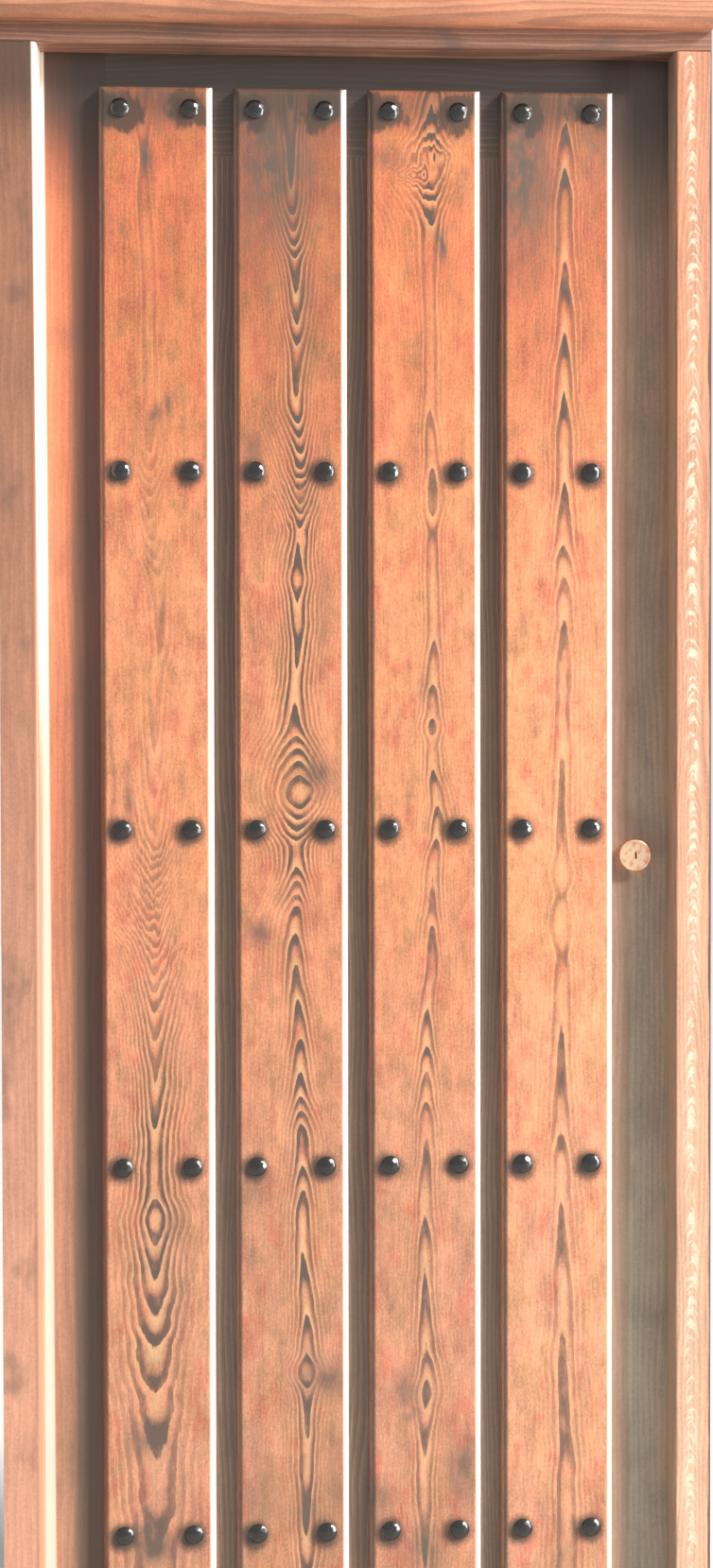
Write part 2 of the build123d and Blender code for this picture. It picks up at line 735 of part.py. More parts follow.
def tail_slot(start):
    """The slot that lets the tail bar stand still while the thumb turn moves: two quarter sectors."""
    reach = tail_width / 2 + tail_slot_end_play
    half = tail_thickness / 2 + tail_slot_side_play
    y = (start - 1, start + tail_slot_depth)
    upright = block((lock_x - half, lock_x + half), y, (lock_height - reach, lock_height + reach))
    level = block((lock_x - reach, lock_x + reach), y, (lock_height - half, lock_height + half))
    disc = rod((lock_x, y[0], lock_height), (lock_x, y[1], lock_height), reach)
    upper_left = block((lock_x - reach - 1, lock_x), y, (lock_height, lock_height + reach + 1))
    lower_right = block((lock_x, lock_x + reach + 1), y, (lock_height - reach - 1, lock_height))
    return upright + level + (disc & (upper_left + lower_right))


def thumb_turn():
    """The thumb turn: a square spindle, a boss in the case's wall, a collar and a waisted grip."""
    hub_end = bolt_y + hub_depth
    half = spindle_width / 2
    solid = block((lock_x - half, lock_x + half), (hub_end - spindle_seat, hub_end + 1),
                  (lock_height - half, lock_height + half))
    collar_start = case_face + bolt_play
    solid += rod((lock_x, hub_end, lock_height), (lock_x, collar_start + 1, lock_height), turn_boss_radius)
    collar_end = collar_start + turn_collar_depth
    solid += rod((lock_x, collar_start, lock_height), (lock_x, collar_end, lock_height), turn_collar_radius)
    grip_end = case_face + turn_reach
    half_length = grip_length / 2
    outline = Ellipse(half_length, (grip_end - collar_end) * grip_roundness)
    upright = Plane(origin=(lock_x, collar_end + grip_rise, lock_height), x_dir=(0, 0, 1), z_dir=(1, 0, 0))
    blade = extrude(upright * outline, grip_width / 2, both=True)
    keep = block((lock_x - grip_width, lock_x + grip_width), (collar_end - 1, grip_end),
                 (lock_height - half_length, lock_height + half_length))
    return solid + (blade & keep)


def keeper_screw_places():
    """Start points of the keeper's two screws, in its lugs' faces."""
    x = (keeper_x[0] + keeper_x[1]) / 2
    y = frame_back + keeper_wall
    return [(x, y, keeper_z[0] - keeper_lug / 2), (x, y, keeper_z[1] + keeper_lug / 2)]


def keeper():
    """The box keeper: open towards the bolt, with a lug above and below."""
    outer = block(keeper_x, (frame_back, frame_back + keeper_depth), keeper_z)
    outer = fillet(outer.faces().sort_by(Axis.Y)[-1].edges().filter_by(Axis.X), keeper_wall)
    inner_x = (keeper_x[0] - 1, keeper_x[1] - keeper_wall)
    inner_z = (keeper_z[0] + keeper_wall, keeper_z[1] - keeper_wall)
    pocket = block(inner_x, (frame_back - 1, frame_back + keeper_depth - keeper_wall), inner_z)
    y = (frame_back, frame_back + keeper_wall)
    lower = block(keeper_x, y, (keeper_z[0] - keeper_lug, keeper_z[0] + 1))
    upper = block(keeper_x, y, (keeper_z[1] - 1, keeper_z[1] + keeper_lug))
    solid = outer + lower + upper - pocket
    for start in keeper_screw_places():
        solid -= screw(start, (0, -1, 0), hinge_screw_length, screw_play)
    return solid


def keeper_screws():
    """Two countersunk screws through the keeper's lugs."""
    return [screw(start, (0, -1, 0), hinge_screw_length) for start in keeper_screw_places()]


def save(name, shape):
    """Writes one sub-part. A list of solids becomes one node."""
    export_step(Compound(children=shape) if isinstance(shape, list) else shape, f"parts/{name}.step")


os.makedirs("parts", exist_ok=True)

save("left_jamb", left_jamb())
save("right_jamb", right_jamb())
save("head_jamb", head_jamb())
save("head_drip", head_drip())
save("head_screws", head_screws())
save("hinge_stile", hinge_stile())
save("lock_stile", lock_stile())
save("top_rail", top_rail())
for ledge_name in ledge_limits():
    save(ledge_name, ledge(ledge_name))
for i in range(lining_count):
    save(f"lining_board_{i + 1}", lining_board(i))
for i in range(board_count):
    save(f"face_board_{i + 1}", face_board(i))
for i, row_height in enumerate(stud_rows):
    save(f"studs_row_{i + 1}", [stud(x, row_height) for x in stud_columns])
for i, hinge_height in enumerate(hinge_heights):
    save(f"hinge_frame_plate_{i + 1}", hinge_plate(hinge_height, -1))
    save(f"hinge_leaf_plate_{i + 1}", hinge_plate(hinge_height, 1))
    save(f"hinge_pin_{i + 1}", hinge_pin(hinge_height))
save("hinge_screws_frame", hinge_screws(-rebate_x, -1))
save("hinge_screws_leaf", hinge_screws(-leaf_edge, 1))
save("cylinder_ring", cylinder_ring())
save("cylinder_body", cylinder_body())
save("cylinder_screws", cylinder_screws())
save("key_plug", key_plug())
save("tailbar", tailbar())
save("lock_backplate", lock_backplate())
save("lock_case", lock_case())
save("lock_case_screws", lock_case_screws())
save("dead_bolt", dead_bolt())
save("follower", follower())
save("thumb_turn", thumb_turn())
save("keeper", keeper())
save("keeper_screws", keeper_screws())
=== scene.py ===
"""Dresses the studded plank door: pine, blackened studs, brass, an enamelled lock, and a plain stage."""

import math

import bmesh
import bpy
import numpy as np
from bpy.props import FloatProperty, FloatVectorProperty, IntProperty, PointerProperty
from mathutils import Matrix, Vector


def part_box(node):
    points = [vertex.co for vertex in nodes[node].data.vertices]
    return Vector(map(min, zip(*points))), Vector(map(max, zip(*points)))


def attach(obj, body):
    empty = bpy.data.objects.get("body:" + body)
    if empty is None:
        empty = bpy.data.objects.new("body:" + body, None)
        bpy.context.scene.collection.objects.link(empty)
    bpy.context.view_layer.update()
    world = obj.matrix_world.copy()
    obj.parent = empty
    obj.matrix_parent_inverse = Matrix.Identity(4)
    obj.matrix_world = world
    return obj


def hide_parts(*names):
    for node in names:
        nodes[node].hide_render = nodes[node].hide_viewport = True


bl_info = {
    "name": "Studded plank door",
    "version": (1, 0, 0),
    "blender": (4, 5, 0),
    "location": "3D View > Sidebar > Door",
    "description": "Gives a packed plank door its timber, iron and brass, and sets its stage",
    "category": "Object",
}

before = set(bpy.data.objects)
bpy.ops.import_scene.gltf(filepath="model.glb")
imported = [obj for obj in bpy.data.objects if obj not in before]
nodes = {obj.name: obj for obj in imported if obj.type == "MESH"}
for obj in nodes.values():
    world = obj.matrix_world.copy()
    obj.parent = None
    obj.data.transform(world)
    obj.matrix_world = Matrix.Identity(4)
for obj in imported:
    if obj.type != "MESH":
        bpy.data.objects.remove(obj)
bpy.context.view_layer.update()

MM = 0.001
BOARDS = tuple(f"face_board_{i}" for i in range(1, 5))
LINING = tuple(f"lining_board_{i}" for i in range(1, 6))
LEDGES = ("ledge_upper", "ledge_middle", "ledge_lower", "ledge_bottom")
ROWS = tuple(f"studs_row_{i}" for i in range(1, 6))
FULL_HEIGHT = 2100.0
# The axis that the grain of a piece follows.
UPRIGHT, LEVEL = 2, 0


def low(node, axis):
    """A node's lowest coordinate along an axis, in millimetres."""
    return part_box(node)[0][axis] / MM


def high(node, axis):
    """A node's highest coordinate along an axis, in millimetres."""
    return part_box(node)[1][axis] / MM


def middle(node, axis):
    """Halfway between a node's ends along an axis, in millimetres."""
    return (low(node, axis) + high(node, axis)) / 2


STUD_RADIUS = 12.0
STUD_RIM = 1.2
STUD_TOP = 7.0
STUD_OFFSET = high("studs_row_1", 0) - STUD_RADIUS - middle("face_board_4", 0)
# Where a tone starts and where it is full, in millimetres: the heights over which the marks round the top studs
# widen and the painted shade of the head comes in at a board's top, the height at which the painted shadow of
# the head is darkest, the distances from a board's middle of the painted shade on its left edge and the painted
# highlight on its right arris, and the distances from a stud's middle of the iron mark and painted shadow round
# it.
TOP_MARK, TOP_SHADE_HEIGHTS, HEAD_SHADOW_END = (1900, 1930), (1912, 1962), 1980
SHADED_LEFT_EDGE, HIGHLIGHT_EDGE = (62.5, 67.0), (63.0, 66.5)
STUD_MARK_AND_SHADOW = (STUD_RADIUS, 25.0)
ROW_HEIGHTS = [high(row, 2) - STUD_RADIUS for row in ROWS]
BOARD_FRONT = low("face_board_1", 1)
LEAF_BACK = high("hinge_stile", 1)
# Radii of a screw's head and shank, depth of its countersink, half width and depth of its slot, and lengths.
SCREW_HEAD, SCREW_SHANK, SCREW_DEPTH = 3.8, 2.0, 2.0
SLOT_HALF, SLOT_DEPTH = 0.62, 1.05
SHORT_SCREW, CASE_SCREW, HEAD_SCREW = 25.0, 45.0, 100.0
CASE_SCREW_INSET = 6.5
HINGE_SCREW_STEPS = (-38.0, -38.0 / 3, 38.0 / 3, 38.0)
GOLDEN_ANGLE = 2.39996
# Half the side of a stud's shank, the radius of its bend, how far down the ledge it reaches, and how square
# its section is: 1 is round, and the square root of 2 is sharp.
SHANK_HALF, BEND_RADIUS, CLENCH_REACH, SQUARENESS = 2.5, 1.25, 14.8, 1.32


def linear(red, green, blue):
    """A colour of 0 to 255 on a screen in linear values: ((c + 0.055) / 1.055) to the 2.4."""
    parts = [part / 255 for part in (red, green, blue)]
    return tuple(p / 12.92 if p <= 0.04045 else ((p + 0.055) / 1.055) ** 2.4 for p in parts)


def swatch(name, description, red, green, blue):
    """A colour that the user picks, given here as 0 to 255 on a screen."""
    return FloatVectorProperty(name=name, description=description, subtype="COLOR", size=3, min=0, max=1,
                               default=linear(red, green, blue))


def setting(name, description, default, most, **kind):
    """A number that the user sets, from 0 to most. kind is its unit or subtype."""
    return FloatProperty(name=name, description=description, default=default, min=0, max=most, **kind)


AMBER = linear(240, 168, 104)
ROSE = linear(224, 116, 90)
OLIVE = linear(184, 134, 92)
LATE_WOOD = linear(150, 92, 64)
SHADOW_BROWN = linear(66, 56, 50)
# Brown of the painted shadow that the head and drip cast over the tops of the stiles, the rail and the left
# jamb.
OLD_BRASS = linear(150, 108, 66)


class TimberLook(bpy.types.PropertyGroup):
    """Colours and varnish of the pine."""

    board: swatch("Board", "Varnished face boards at their foot", 230, 158, 124)
    board_middle: swatch("Board at the middle", "Varnished face boards at half height", 252, 162, 118)
    board_top: swatch("Board at the top", "Varnished face boards at their top", 242, 136, 92)
    flame: swatch("Flame", "Dark late wood in the middle of a board", 104, 82, 70)
    streak: swatch("Streak", "Pale early wood in the middle of a board", 255, 205, 150)
    leaf: swatch("Stiles", "Stiles of the leaf", 246, 146, 106)
    jamb: swatch("Jamb", "Right jamb at its foot", 246, 190, 154)
    jamb_top: swatch("Jamb at the top", "Right jamb at its top", 236, 160, 122)
    stain: swatch("Stain", "Grey marks round knots", 112, 92, 78)
    # Also the colour of the painted shadow to the left of and below each stud, and of the painted shade at the
    # top and on the left edge of each face board.
    iron_mark_and_shade: swatch("Iron mark", "Black mark that a stud leaves in the wood round it", 78, 62, 50)
    inside: swatch("Inside", "Pine of the leaf on the side of the room", 216, 162, 126)
    # Painted highlight, not worn varnish: the pale colour laid on the right arris of each face board and on the
    # lit strip by the left reveal.
    painted_highlight: swatch("Worn arris", "Edges where the varnish is rubbed away", 255, 238, 220)
    varnish: setting("Varnish", "Roughness of the varnish", 0.4, 1, subtype="FACTOR")


class IronLook(bpy.types.PropertyGroup):
    """Colour and shape of the studs."""

    black: swatch("Black", "Blackened iron", 24, 21, 18)
    facets: IntProperty(name="Facets", description="Hammer marks on a stud's head", min=5, max=40, default=11)
    depth: setting("Hammer depth", "How far the hammer marks cut in, in millimetres", 0.32, 1)


class LockLook(bpy.types.PropertyGroup):
    """Colours of the lock and the hinges."""

    brass: swatch("Brass", "Hinges and lock cylinder", 250, 200, 156)
    steel: swatch("Steel", "Bolt, follower and plates", 190, 190, 188)
    enamel: swatch("Enamel", "Lock case, keeper and thumb turn", 66, 54, 48)


class StageLook(bpy.types.PropertyGroup):
    """Light and floor."""

    key: setting("Key light", "Strength of the slanting light", 4.2, 20)
    strip: setting("Strip light", "Power of the tall soft box at the right", 170, 2000, unit="POWER")
    fill: setting("Fill light", "Strength of the light from all round", 0.15, 5)
    inside: setting("Inside light", "Strength of the light on the inside face", 1.6, 20)
    floor: swatch("Floor", "Plain pale floor", 228, 226, 222)


class DoorLook(bpy.types.PropertyGroup):
    """All the settings of the door."""

    timber: PointerProperty(type=TimberLook)
    iron: PointerProperty(type=IronLook)
    lock: PointerProperty(type=LockLook)
    stage: PointerProperty(type=StageLook)


class Wire:
    """An output socket in a graph. Arithmetic on it adds Math nodes."""

    def __init__(self, graph, socket):
        self.graph = graph
        self.socket = socket

    def maths(self, operation, *others):
        """A Math node on this value and the others."""
        return self.graph.node("ShaderNodeMath", {"operation": operation}, dict(enumerate((self, *others))))

    def reflected(self, operation, other):
        """A Math node with this value second."""
        return self.graph.node("ShaderNodeMath", {"operation": operation}, {0: other, 1: self})

    def __add__(self, other):
        return self.maths("ADD", other)

    def __radd__(self, other):
        return self.reflected("ADD", other)

    def __sub__(self, other):
        return self.maths("SUBTRACT", other)

    def __rsub__(self, other):
        return self.reflected("SUBTRACT", other)

    def __mul__(self, other):
        return self.maths("MULTIPLY", other)

    def __rmul__(self, other):
        return self.reflected("MULTIPLY", other)

    def __truediv__(self, other):
        return self.maths("DIVIDE", other)

    def __rtruediv__(self, other):
        return self.reflected("DIVIDE", other)

    def __pow__(self, other):
        return self.maths("POWER", other)

    def __abs__(self):
        return self.maths("ABSOLUTE")

    def fraction(self):
        """What is left over the whole number below."""
        return self.maths("FRACT")

    def whole(self):
        """The whole number below."""
        return self.maths("FLOOR")

    def least(self, other):
        """The smaller of this and the other."""
        return self.maths("MINIMUM", other)

    def most(self, other):
        """The larger of this and the other."""
        return self.maths("MAXIMUM", other)

    def bell(self, width):
        """1 at zero, falling off both ways: e to the -(value / width)^2."""
        part = self / width
        return (0.0 - part * part).maths("EXPONENT")

    def rise(self, start, end):
        """0 up to start, 1 from end, and a smooth S between them."""
        sockets = {0: self, 1: start, 2: end, 3: 0.0, 4: 1.0}
        return self.graph.node("ShaderNodeMapRange", {"interpolation_type": "SMOOTHSTEP"}, sockets)


class Graph:
    """A node tree, and the one way in which nodes are added to it."""

    def __init__(self, tree):
        self.tree = tree

    def node(self, kind, settings, sockets, output=0):
        """Adds a node, sets its settings, then its sockets to values or links, and returns one output."""
        made = self.tree.nodes.new(kind)
        for key, value in settings.items():
            if key == "points":
                self.set_points(made.mapping, value)
            else:
                setattr(made, key, value)
        for key, value in sockets.items():
            self.feed(made.inputs[key], value)
        return Wire(self, made.outputs[output])

    def feed(self, socket, value):
        """Links a wire to a socket, or sets the socket's own value."""
        if isinstance(value, Wire):
            self.tree.links.new(value.socket, socket)
        elif socket.type == "RGBA":
            socket.default_value = (*value, 1.0)
        else:
            socket.default_value = value

    def set_points(self, mapping, points):
        """Gives a curve its points, each between 0 and 1 both ways, in order."""
        mapping.extend = "HORIZONTAL"
        curve = mapping.curves[0]
        while len(curve.points) < len(points):
            curve.points.new(0.5, 0.5)
        for point, place in zip(curve.points, points):
            point.location = place
            point.handle_type = "AUTO_CLAMPED"
        mapping.update()

    def place(self):
        """X, Y and Z of the point in millimetres, in the door's own frame."""
        spot = self.node("ShaderNodeTexCoord", {}, {}, output=3)
        return [self.node("ShaderNodeSeparateXYZ", {}, {0: spot}, output=i) * (1 / MM) for i in range(3)]

    def noise(self, across, deep, along, detail=2.0, roughness=0.5):
        """Smooth noise at three coordinates, one unit to a lump: mostly between -0.6 and 0.6."""
        spot = self.node("ShaderNodeCombineXYZ", {}, {0: across, 1: deep, 2: along})
        sockets = {"Vector": spot, "Scale": 1.0, "Detail": detail, "Roughness": roughness}
        return (self.node("ShaderNodeTexNoise", {"noise_dimensions": "3D"}, sockets) - 0.5) * 2.6

    def curve(self, value, points, bottom, top):
        """A smooth curve through given points (value, height), worked between bottom and top."""
        flat = [(a, (b - bottom) / (top - bottom)) for a, b in points]
        return self.node("ShaderNodeFloatCurve", {"points": flat}, {"Value": value}) * (top - bottom) + bottom

    def mix(self, factor, first, second):
        """The first colour, with the second laid over it by the factor."""
        return self.node("ShaderNodeMix", {"data_type": "RGBA"}, {0: factor, 6: first, 7: second}, output=2)

    def lay(self, colour, *layers):
        """A colour with others laid over it in turn, each given as (factor, colour)."""
        for factor, other in layers:
            colour = self.mix(factor, colour, other)
        return colour

    def shade(self, colour, amount):
        """A colour made lighter or darker by a factor."""
        return self.node("ShaderNodeVectorMath", {"operation": "SCALE"}, {0: colour, 3: amount})

    def seen(self):
        """1 where the camera sees the point, straight or in a shine, and 0 for the light it throws."""
        straight = self.node("ShaderNodeLightPath", {}, {}, output=0)
        return straight.most(self.node("ShaderNodeLightPath", {}, {}, output=3))

    def bump(self, height, strength, distance):
        """A normal bent by a height, with the distance in millimetres that a height of 1 stands for."""
        sockets = {"Height": height, "Strength": strength, "Distance": distance * MM}
        return self.node("ShaderNodeBump", {}, sockets)


class Finish(Graph):
    """A material with one Principled surface."""

    def __init__(self, name):
        self.material = bpy.data.materials.new(name)
        self.material.use_nodes = True
        super().__init__(self.material.node_tree)
        self.surface = self.tree.nodes["Principled BSDF"]

    def sockets(self, **values):
        """Sets the surface's sockets, by their names with _ for a space, and returns the material."""
        for key, value in values.items():
            self.feed(self.surface.inputs[key.replace("_", " ")], value)
        return self.material


# The flame of each face board, from left to right. Lengths are millimetres. These are flat runs of a height and
# a value, over and over:
#   "line" is the X of the flame's middle.
#   "growth" counts growth rings up the board. Where it falls the rings point down, where it rises they point
#   up, its lows are ovals and its highs are waists. Wood is pale just over a whole number and dark from 0.4 on.
#   "spread" is rings to the millimetre far from the line, and "tip" is how round a ring's point is.
#   "breadth" scales "core" and "reach".
#   "strength" is how plain the figure stands, and "tone" how light the board is.
# The others:
#   "core" is how wide the dark figure is, and "reach" how wide the pale one is on the left and on the right.
#   "top_shade" is how dark the painted shade of the head is at the top of the board.
#   "wiggle" is where and by how much the grain is curly: height, half height, rings.
#   "knots" push the rings aside: X, height, half width, half height, rings.
#   "marks" are grey stains: X, height, half width, half height, strength.
FLAMES = [{
    "line": (
        52, -258, 550, -258.5, 1000, -258.5, 1230, -257, 1310, -250, 1400, -258, 1480, -263, 1600, -262,
        1750, -264, 1900, -269, 1984, -270,
    ),
    "growth": (
        52, 57.2, 101, 57.1, 120, 57.03, 130, 56.95, 183, 56.35, 189, 56.25, 244, 56.03, 253, 55.92,
        297, 55.4, 303, 55.25, 328, 55.03, 337, 54.9, 357, 54.4, 369, 54.2, 381, 54.03, 396, 53.9, 409, 53.4,
        421, 53.12, 447, 52.7, 467, 52.1, 492, 51.7, 514, 51.1, 529, 50.7, 553, 50.03, 571, 50.6, 586, 51.1,
        623, 51.25, 664, 51.1, 670, 50.92, 702, 50.4, 716, 50.1, 741, 49.85, 760, 49.4, 773, 49.1, 812, 48.1,
        838, 47.1, 861, 46.1, 882, 45.1, 898, 44.1, 928, 42.1, 956, 40.1, 983, 38.1, 1008, 36.1, 1038, 34.1,
        1086, 33, 1146, 32, 1254, 31.1, 1293, 30.7, 1327, 30.4, 1363, 30.1, 1387, 29, 1435, 27.1, 1459, 26.4,
        1483, 25.1, 1521, 23, 1543, 22.6, 1579, 22.2, 1735, 22.15, 1856, 22.3, 1892, 22.75, 1928, 22.2,
        1958, 21.5, 1984, 21, 1986, 20.9,
    ),
    "spread": (52, 0.12, 560, 0.14, 700, 0.18, 1000, 0.2, 1984, 0.2),
    "breadth": (52, 1.0, 1060, 0.9, 1130, 0.5, 1500, 0.45, 1620, 0.25, 1984, 0.25),
    "tip": (52, 42, 300, 36, 450, 22, 545, 9, 700, 9, 1000, 12, 1984, 8),
    "strength": (
        52, 0.95, 640, 0.9, 760, 0.62, 900, 0.5, 1040, 0.36, 1120, 0.28, 1420, 0.3, 1500, 0.26, 1600, 0.4,
        1984, 0.6,
    ),
    "tone": (52, 0.98, 300, 1.0, 1200, 1.0, 1500, 0.95, 1984, 0.88),
    "core": 34.0,
    "reach": (68.0, 40.0),
    "top_shade": 0.5,
    "wiggle": (950, 90, 0.9),
    "knots": (),
    "marks": (
        (-255, 1572, 9, 12, 0.75), (-236, 1582, 5, 16, 0.55), (-266, 1893, 6, 20, 0.85),
        (-244, 1320, 4, 22, 0.5), (-295, 1086, 7, 26, 0.5), (-312, 1130, 3, 90, 0.35),
        (-262, 138, 28, 24, 0.95), (-266, 268, 24, 18, 0.5), (-240, 545, 16, 20, 0.3),
        (-266, 1978, 12, 18, 0.6), (-318, 1830, 8, 90, 0.4), (-318, 1962, 22, 28, 0.85),
        (-244, 1964, 18, 24, 0.65),
    ),
}, {
    "line": (
        52, -70, 170, -68, 352, -66.5, 500, -71, 560, -72, 760, -74, 900, -79, 980, -78, 1023, -79,
        1092, -72.5, 1200, -80, 1300, -76, 1366, -76.5, 1440, -72, 1500, -72, 1600, -77, 1700, -78, 1830, -82,
        1984, -84,
    ),
    "growth": (
        52, 13, 101, 12.6, 118, 12.35, 129, 12.12, 143, 12.05, 150, 11.93, 209, 11.4, 218, 11.2, 266, 11.03,
        272, 10.93, 322, 10.5, 331, 10.2, 338, 9.8, 346, 9.2, 355, 9.1, 364, 9.2, 373, 9.8, 388, 10.15,
        409, 10.5, 426, 10.92, 434, 11.05, 463, 11.25, 470, 11.42, 506, 11.9, 523, 12.05, 563, 12.25,
        574, 12.5, 584, 12.9, 597, 13.1, 606, 13.5, 616, 13.9, 624, 14.1, 639, 14.3, 665, 14.6, 675, 15.1,
        693, 16.1, 701, 16.6, 710, 17.1, 723, 17.5, 738, 17.93, 748, 18.1, 759, 18.3, 767, 18.5, 779, 18.9,
        784, 19.05, 800, 19.3, 807, 19.5, 831, 19.93, 838, 20.1, 848, 20.5, 874, 20.93, 882, 21.1, 896, 21.3,
        903, 21.5, 913, 21.93, 924, 22.1, 934, 22.3, 953, 23.1, 967, 24.1, 985, 25.1, 991, 25.6, 1002, 26.05,
        1024, 26.3, 1040, 25.3, 1054, 24.4, 1068, 23.4, 1080, 22.5, 1092, 22.05, 1104, 22.4, 1120, 23.2,
        1138, 24.2, 1154, 25.2, 1168, 26.1, 1177, 26.5, 1204, 26.88, 1233, 27.1, 1259, 26.9, 1293, 26.5,
        1300, 26.25, 1327, 26.05, 1340, 25.88, 1352, 25.5, 1365, 25.12, 1377, 25.5, 1407, 25.93, 1425, 26.1,
        1436, 25.7, 1446, 25.1, 1460, 24.1, 1474, 23.1, 1489, 22.1, 1501, 21.1, 1521, 20.1, 1541, 19.1,
        1559, 18.1, 1582, 17.1, 1596, 16.93, 1640, 16.42, 1654, 16.1, 1667, 15.7, 1680, 15.1, 1698, 14.7,
        1716, 14.1, 1728, 13.92, 1756, 13.42, 1768, 13.1, 1782, 12.1, 1800, 11.1, 1821, 10.1, 1845, 9.1,
        1857, 8.93, 1924, 8.42, 1934, 8.2, 1950, 8.03, 1957, 7.9, 1984, 7.5, 1986, 7.4,
    ),
    "spread": (52, 0.2, 1000, 0.2, 1060, 0.17, 1150, 0.17, 1250, 0.2, 1984, 0.22),
    "breadth": (52, 1.0, 960, 1.0, 1040, 1.9, 1130, 1.9, 1220, 1.5, 1500, 1.5, 1600, 1.0, 1984, 1.0),
    "tip": (
        52, 12, 330, 8, 355, 14, 380, 8, 1020, 12, 1060, 18, 1130, 18, 1180, 12, 1340, 7, 1366, 9, 1984, 8,
    ),
    "strength": (52, 0.95, 1000, 1.0, 1984, 1.0),
    "tone": (52, 0.86, 300, 0.88, 1200, 0.9, 1500, 0.82, 1984, 0.64),
    "core": 12.5,
    "reach": (26.0, 22.0),
    "top_shade": 0.75,
    "wiggle": (1450, 70, 0.5),
    "knots": ((-38, 1100, 22, 9, -1.0), (-100, 1092, 16, 40, -0.5), (-118, 1330, 16, 12, -0.9)),
    "marks": (
        (-50, 1118, 20, 24, 0.7), (-126, 920, 18, 22, 0.6), (-134, 590, 24, 24, 0.4),
        (-36, 348, 36, 24, 0.65), (-76, 1900, 10, 26, 0.5), (-135, 1530, 16, 22, 0.5),
        (-60, 1700, 16, 60, 0.25), (-70, 180, 16, 26, 0.5), (-110, 1900, 60, 120, 0.75),
        (-44, 1300, 10, 60, 0.25), (-120, 190, 26, 30, 0.3), (-140, 1966, 26, 26, 0.85),
        (-84, 1978, 50, 14, 0.65), (-38, 1964, 26, 28, 0.85), (-30, 200, 26, 80, 0.35),
    ),
}, {
    "line": (
        52, 84, 200, 84, 326, 86, 450, 84, 560, 84.5, 640, 87, 760, 87, 840, 90, 910, 95, 960, 95, 1020, 98,
        1070, 101, 1110, 97, 1176, 95, 1300, 95.5, 1500, 95, 1600, 92, 1760, 92, 1830, 94, 1889, 92.5,
        1984, 98,
    ),
    "growth": (
        52, 4.2, 106, 3.9, 166, 3.42, 174, 3.25, 238, 3.03, 250, 2.92, 284, 2.42, 294, 2.12, 312, 1.9,
        326, 1.72, 340, 1.9, 352, 2.15, 364, 2.42, 378, 2.93, 400, 3.05, 414, 3.28, 427, 3.42, 476, 3.95,
        506, 4.05, 518, 4.28, 527, 4.42, 552, 4.95, 575, 5.05, 603, 5.3, 611, 5.42, 652, 5.95, 676, 6.15,
        690, 6.5, 698, 6.93, 704, 7.08, 716, 7.28, 723, 7.42, 736, 7.93, 747, 8.12, 758, 8.42, 768, 8.93,
        783, 9.15, 795, 9.42, 816, 9.95, 824, 10.05, 884, 10.35, 896, 10.45, 925, 10.95, 932, 11.1,
        939, 11.42, 976, 11.95, 1010, 12.12, 1021, 12.42, 1033, 12.93, 1046, 13.12, 1062, 13.42, 1074, 13.93,
        1086, 14.1, 1104, 14.3, 1109, 14.5, 1121, 14.93, 1138, 15.12, 1155, 15.35, 1166, 15, 1176, 14.6,
        1188, 15, 1204, 15.25, 1218, 15.42, 1231, 15.93, 1246, 16.12, 1266, 16.42, 1284, 16.93, 1300, 17.08,
        1400, 17.28, 1425, 17.55, 1438, 17.1, 1450, 16.8, 1475, 16.7, 1498, 16.8, 1512, 17.1, 1556, 17.42,
        1574, 17.93, 1600, 18.12, 1700, 18.26, 1806, 18.1, 1816, 17.93, 1832, 17.4, 1844, 16.8, 1856, 16.1,
        1868, 15.5, 1880, 15.2, 1889, 15.1, 1899, 15.25, 1911, 15.8, 1923, 16.6, 1936, 17.3, 1950, 17.7,
        1965, 17.95, 1984, 18.4, 1986, 18.45,
    ),
    "spread": (52, 0.22, 1700, 0.24, 1800, 0.17, 1984, 0.17),
    "breadth": (52, 1.1, 420, 1.2, 700, 1.0, 1500, 1.1, 1760, 1.1, 1830, 1.9, 1984, 1.8),
    "tip": (
        52, 11, 300, 11, 326, 17, 352, 11, 1155, 9, 1176, 12, 1200, 9, 1440, 10, 1470, 18, 1500, 10, 1820, 11,
        1870, 20, 1905, 20, 1950, 12, 1984, 11,
    ),
    "strength": (
        52, 0.8, 800, 0.8, 1180, 0.85, 1300, 0.66, 1480, 0.66, 1600, 0.6, 1760, 0.75, 1820, 1.0, 1984, 1.0,
    ),
    "tone": (52, 0.9, 300, 0.94, 1200, 0.96, 1500, 1.02, 1984, 1.03),
    "core": 10.0,
    "reach": (22.0, 22.0),
    "top_shade": 0.55,
    "wiggle": (1890, 60, 0.9),
    "knots": ((62, 1876, 28, 9, -2.4), (112, 1900, 14, 10, -1.2), (62, 1486, 10, 60, 0.3)),
    "marks": (
        (56, 330, 14, 26, 0.55), (60, 300, 12, 8, 0.5), (131, 230, 20, 50, 0.65), (24, 190, 18, 26, 0.55),
        (40, 1895, 26, 16, 0.4), (83, 130, 26, 36, 0.5), (109, 1784, 6, 18, 0.8), (28, 520, 20, 60, 0.2),
    ),
}, {
    "line": (52, 268, 230, 266, 330, 262, 600, 259.5, 1000, 260, 1200, 262, 1984, 265),
    "growth": (
        52, 1, 101, 1.1, 232, 1.25, 239, 1.42, 398, 1.93, 405, 2.03, 485, 2.25, 493, 2.42, 563, 2.93,
        571, 3.03, 627, 3.28, 636, 3.5, 655, 3.92, 663, 4.03, 696, 4.28, 705, 4.42, 794, 4.95, 805, 5.03,
        872, 5.3, 885, 5.6, 898, 5.25, 924, 5.06, 951, 5.25, 962, 5.6, 972, 5.25, 990, 5.06, 1009, 5.25,
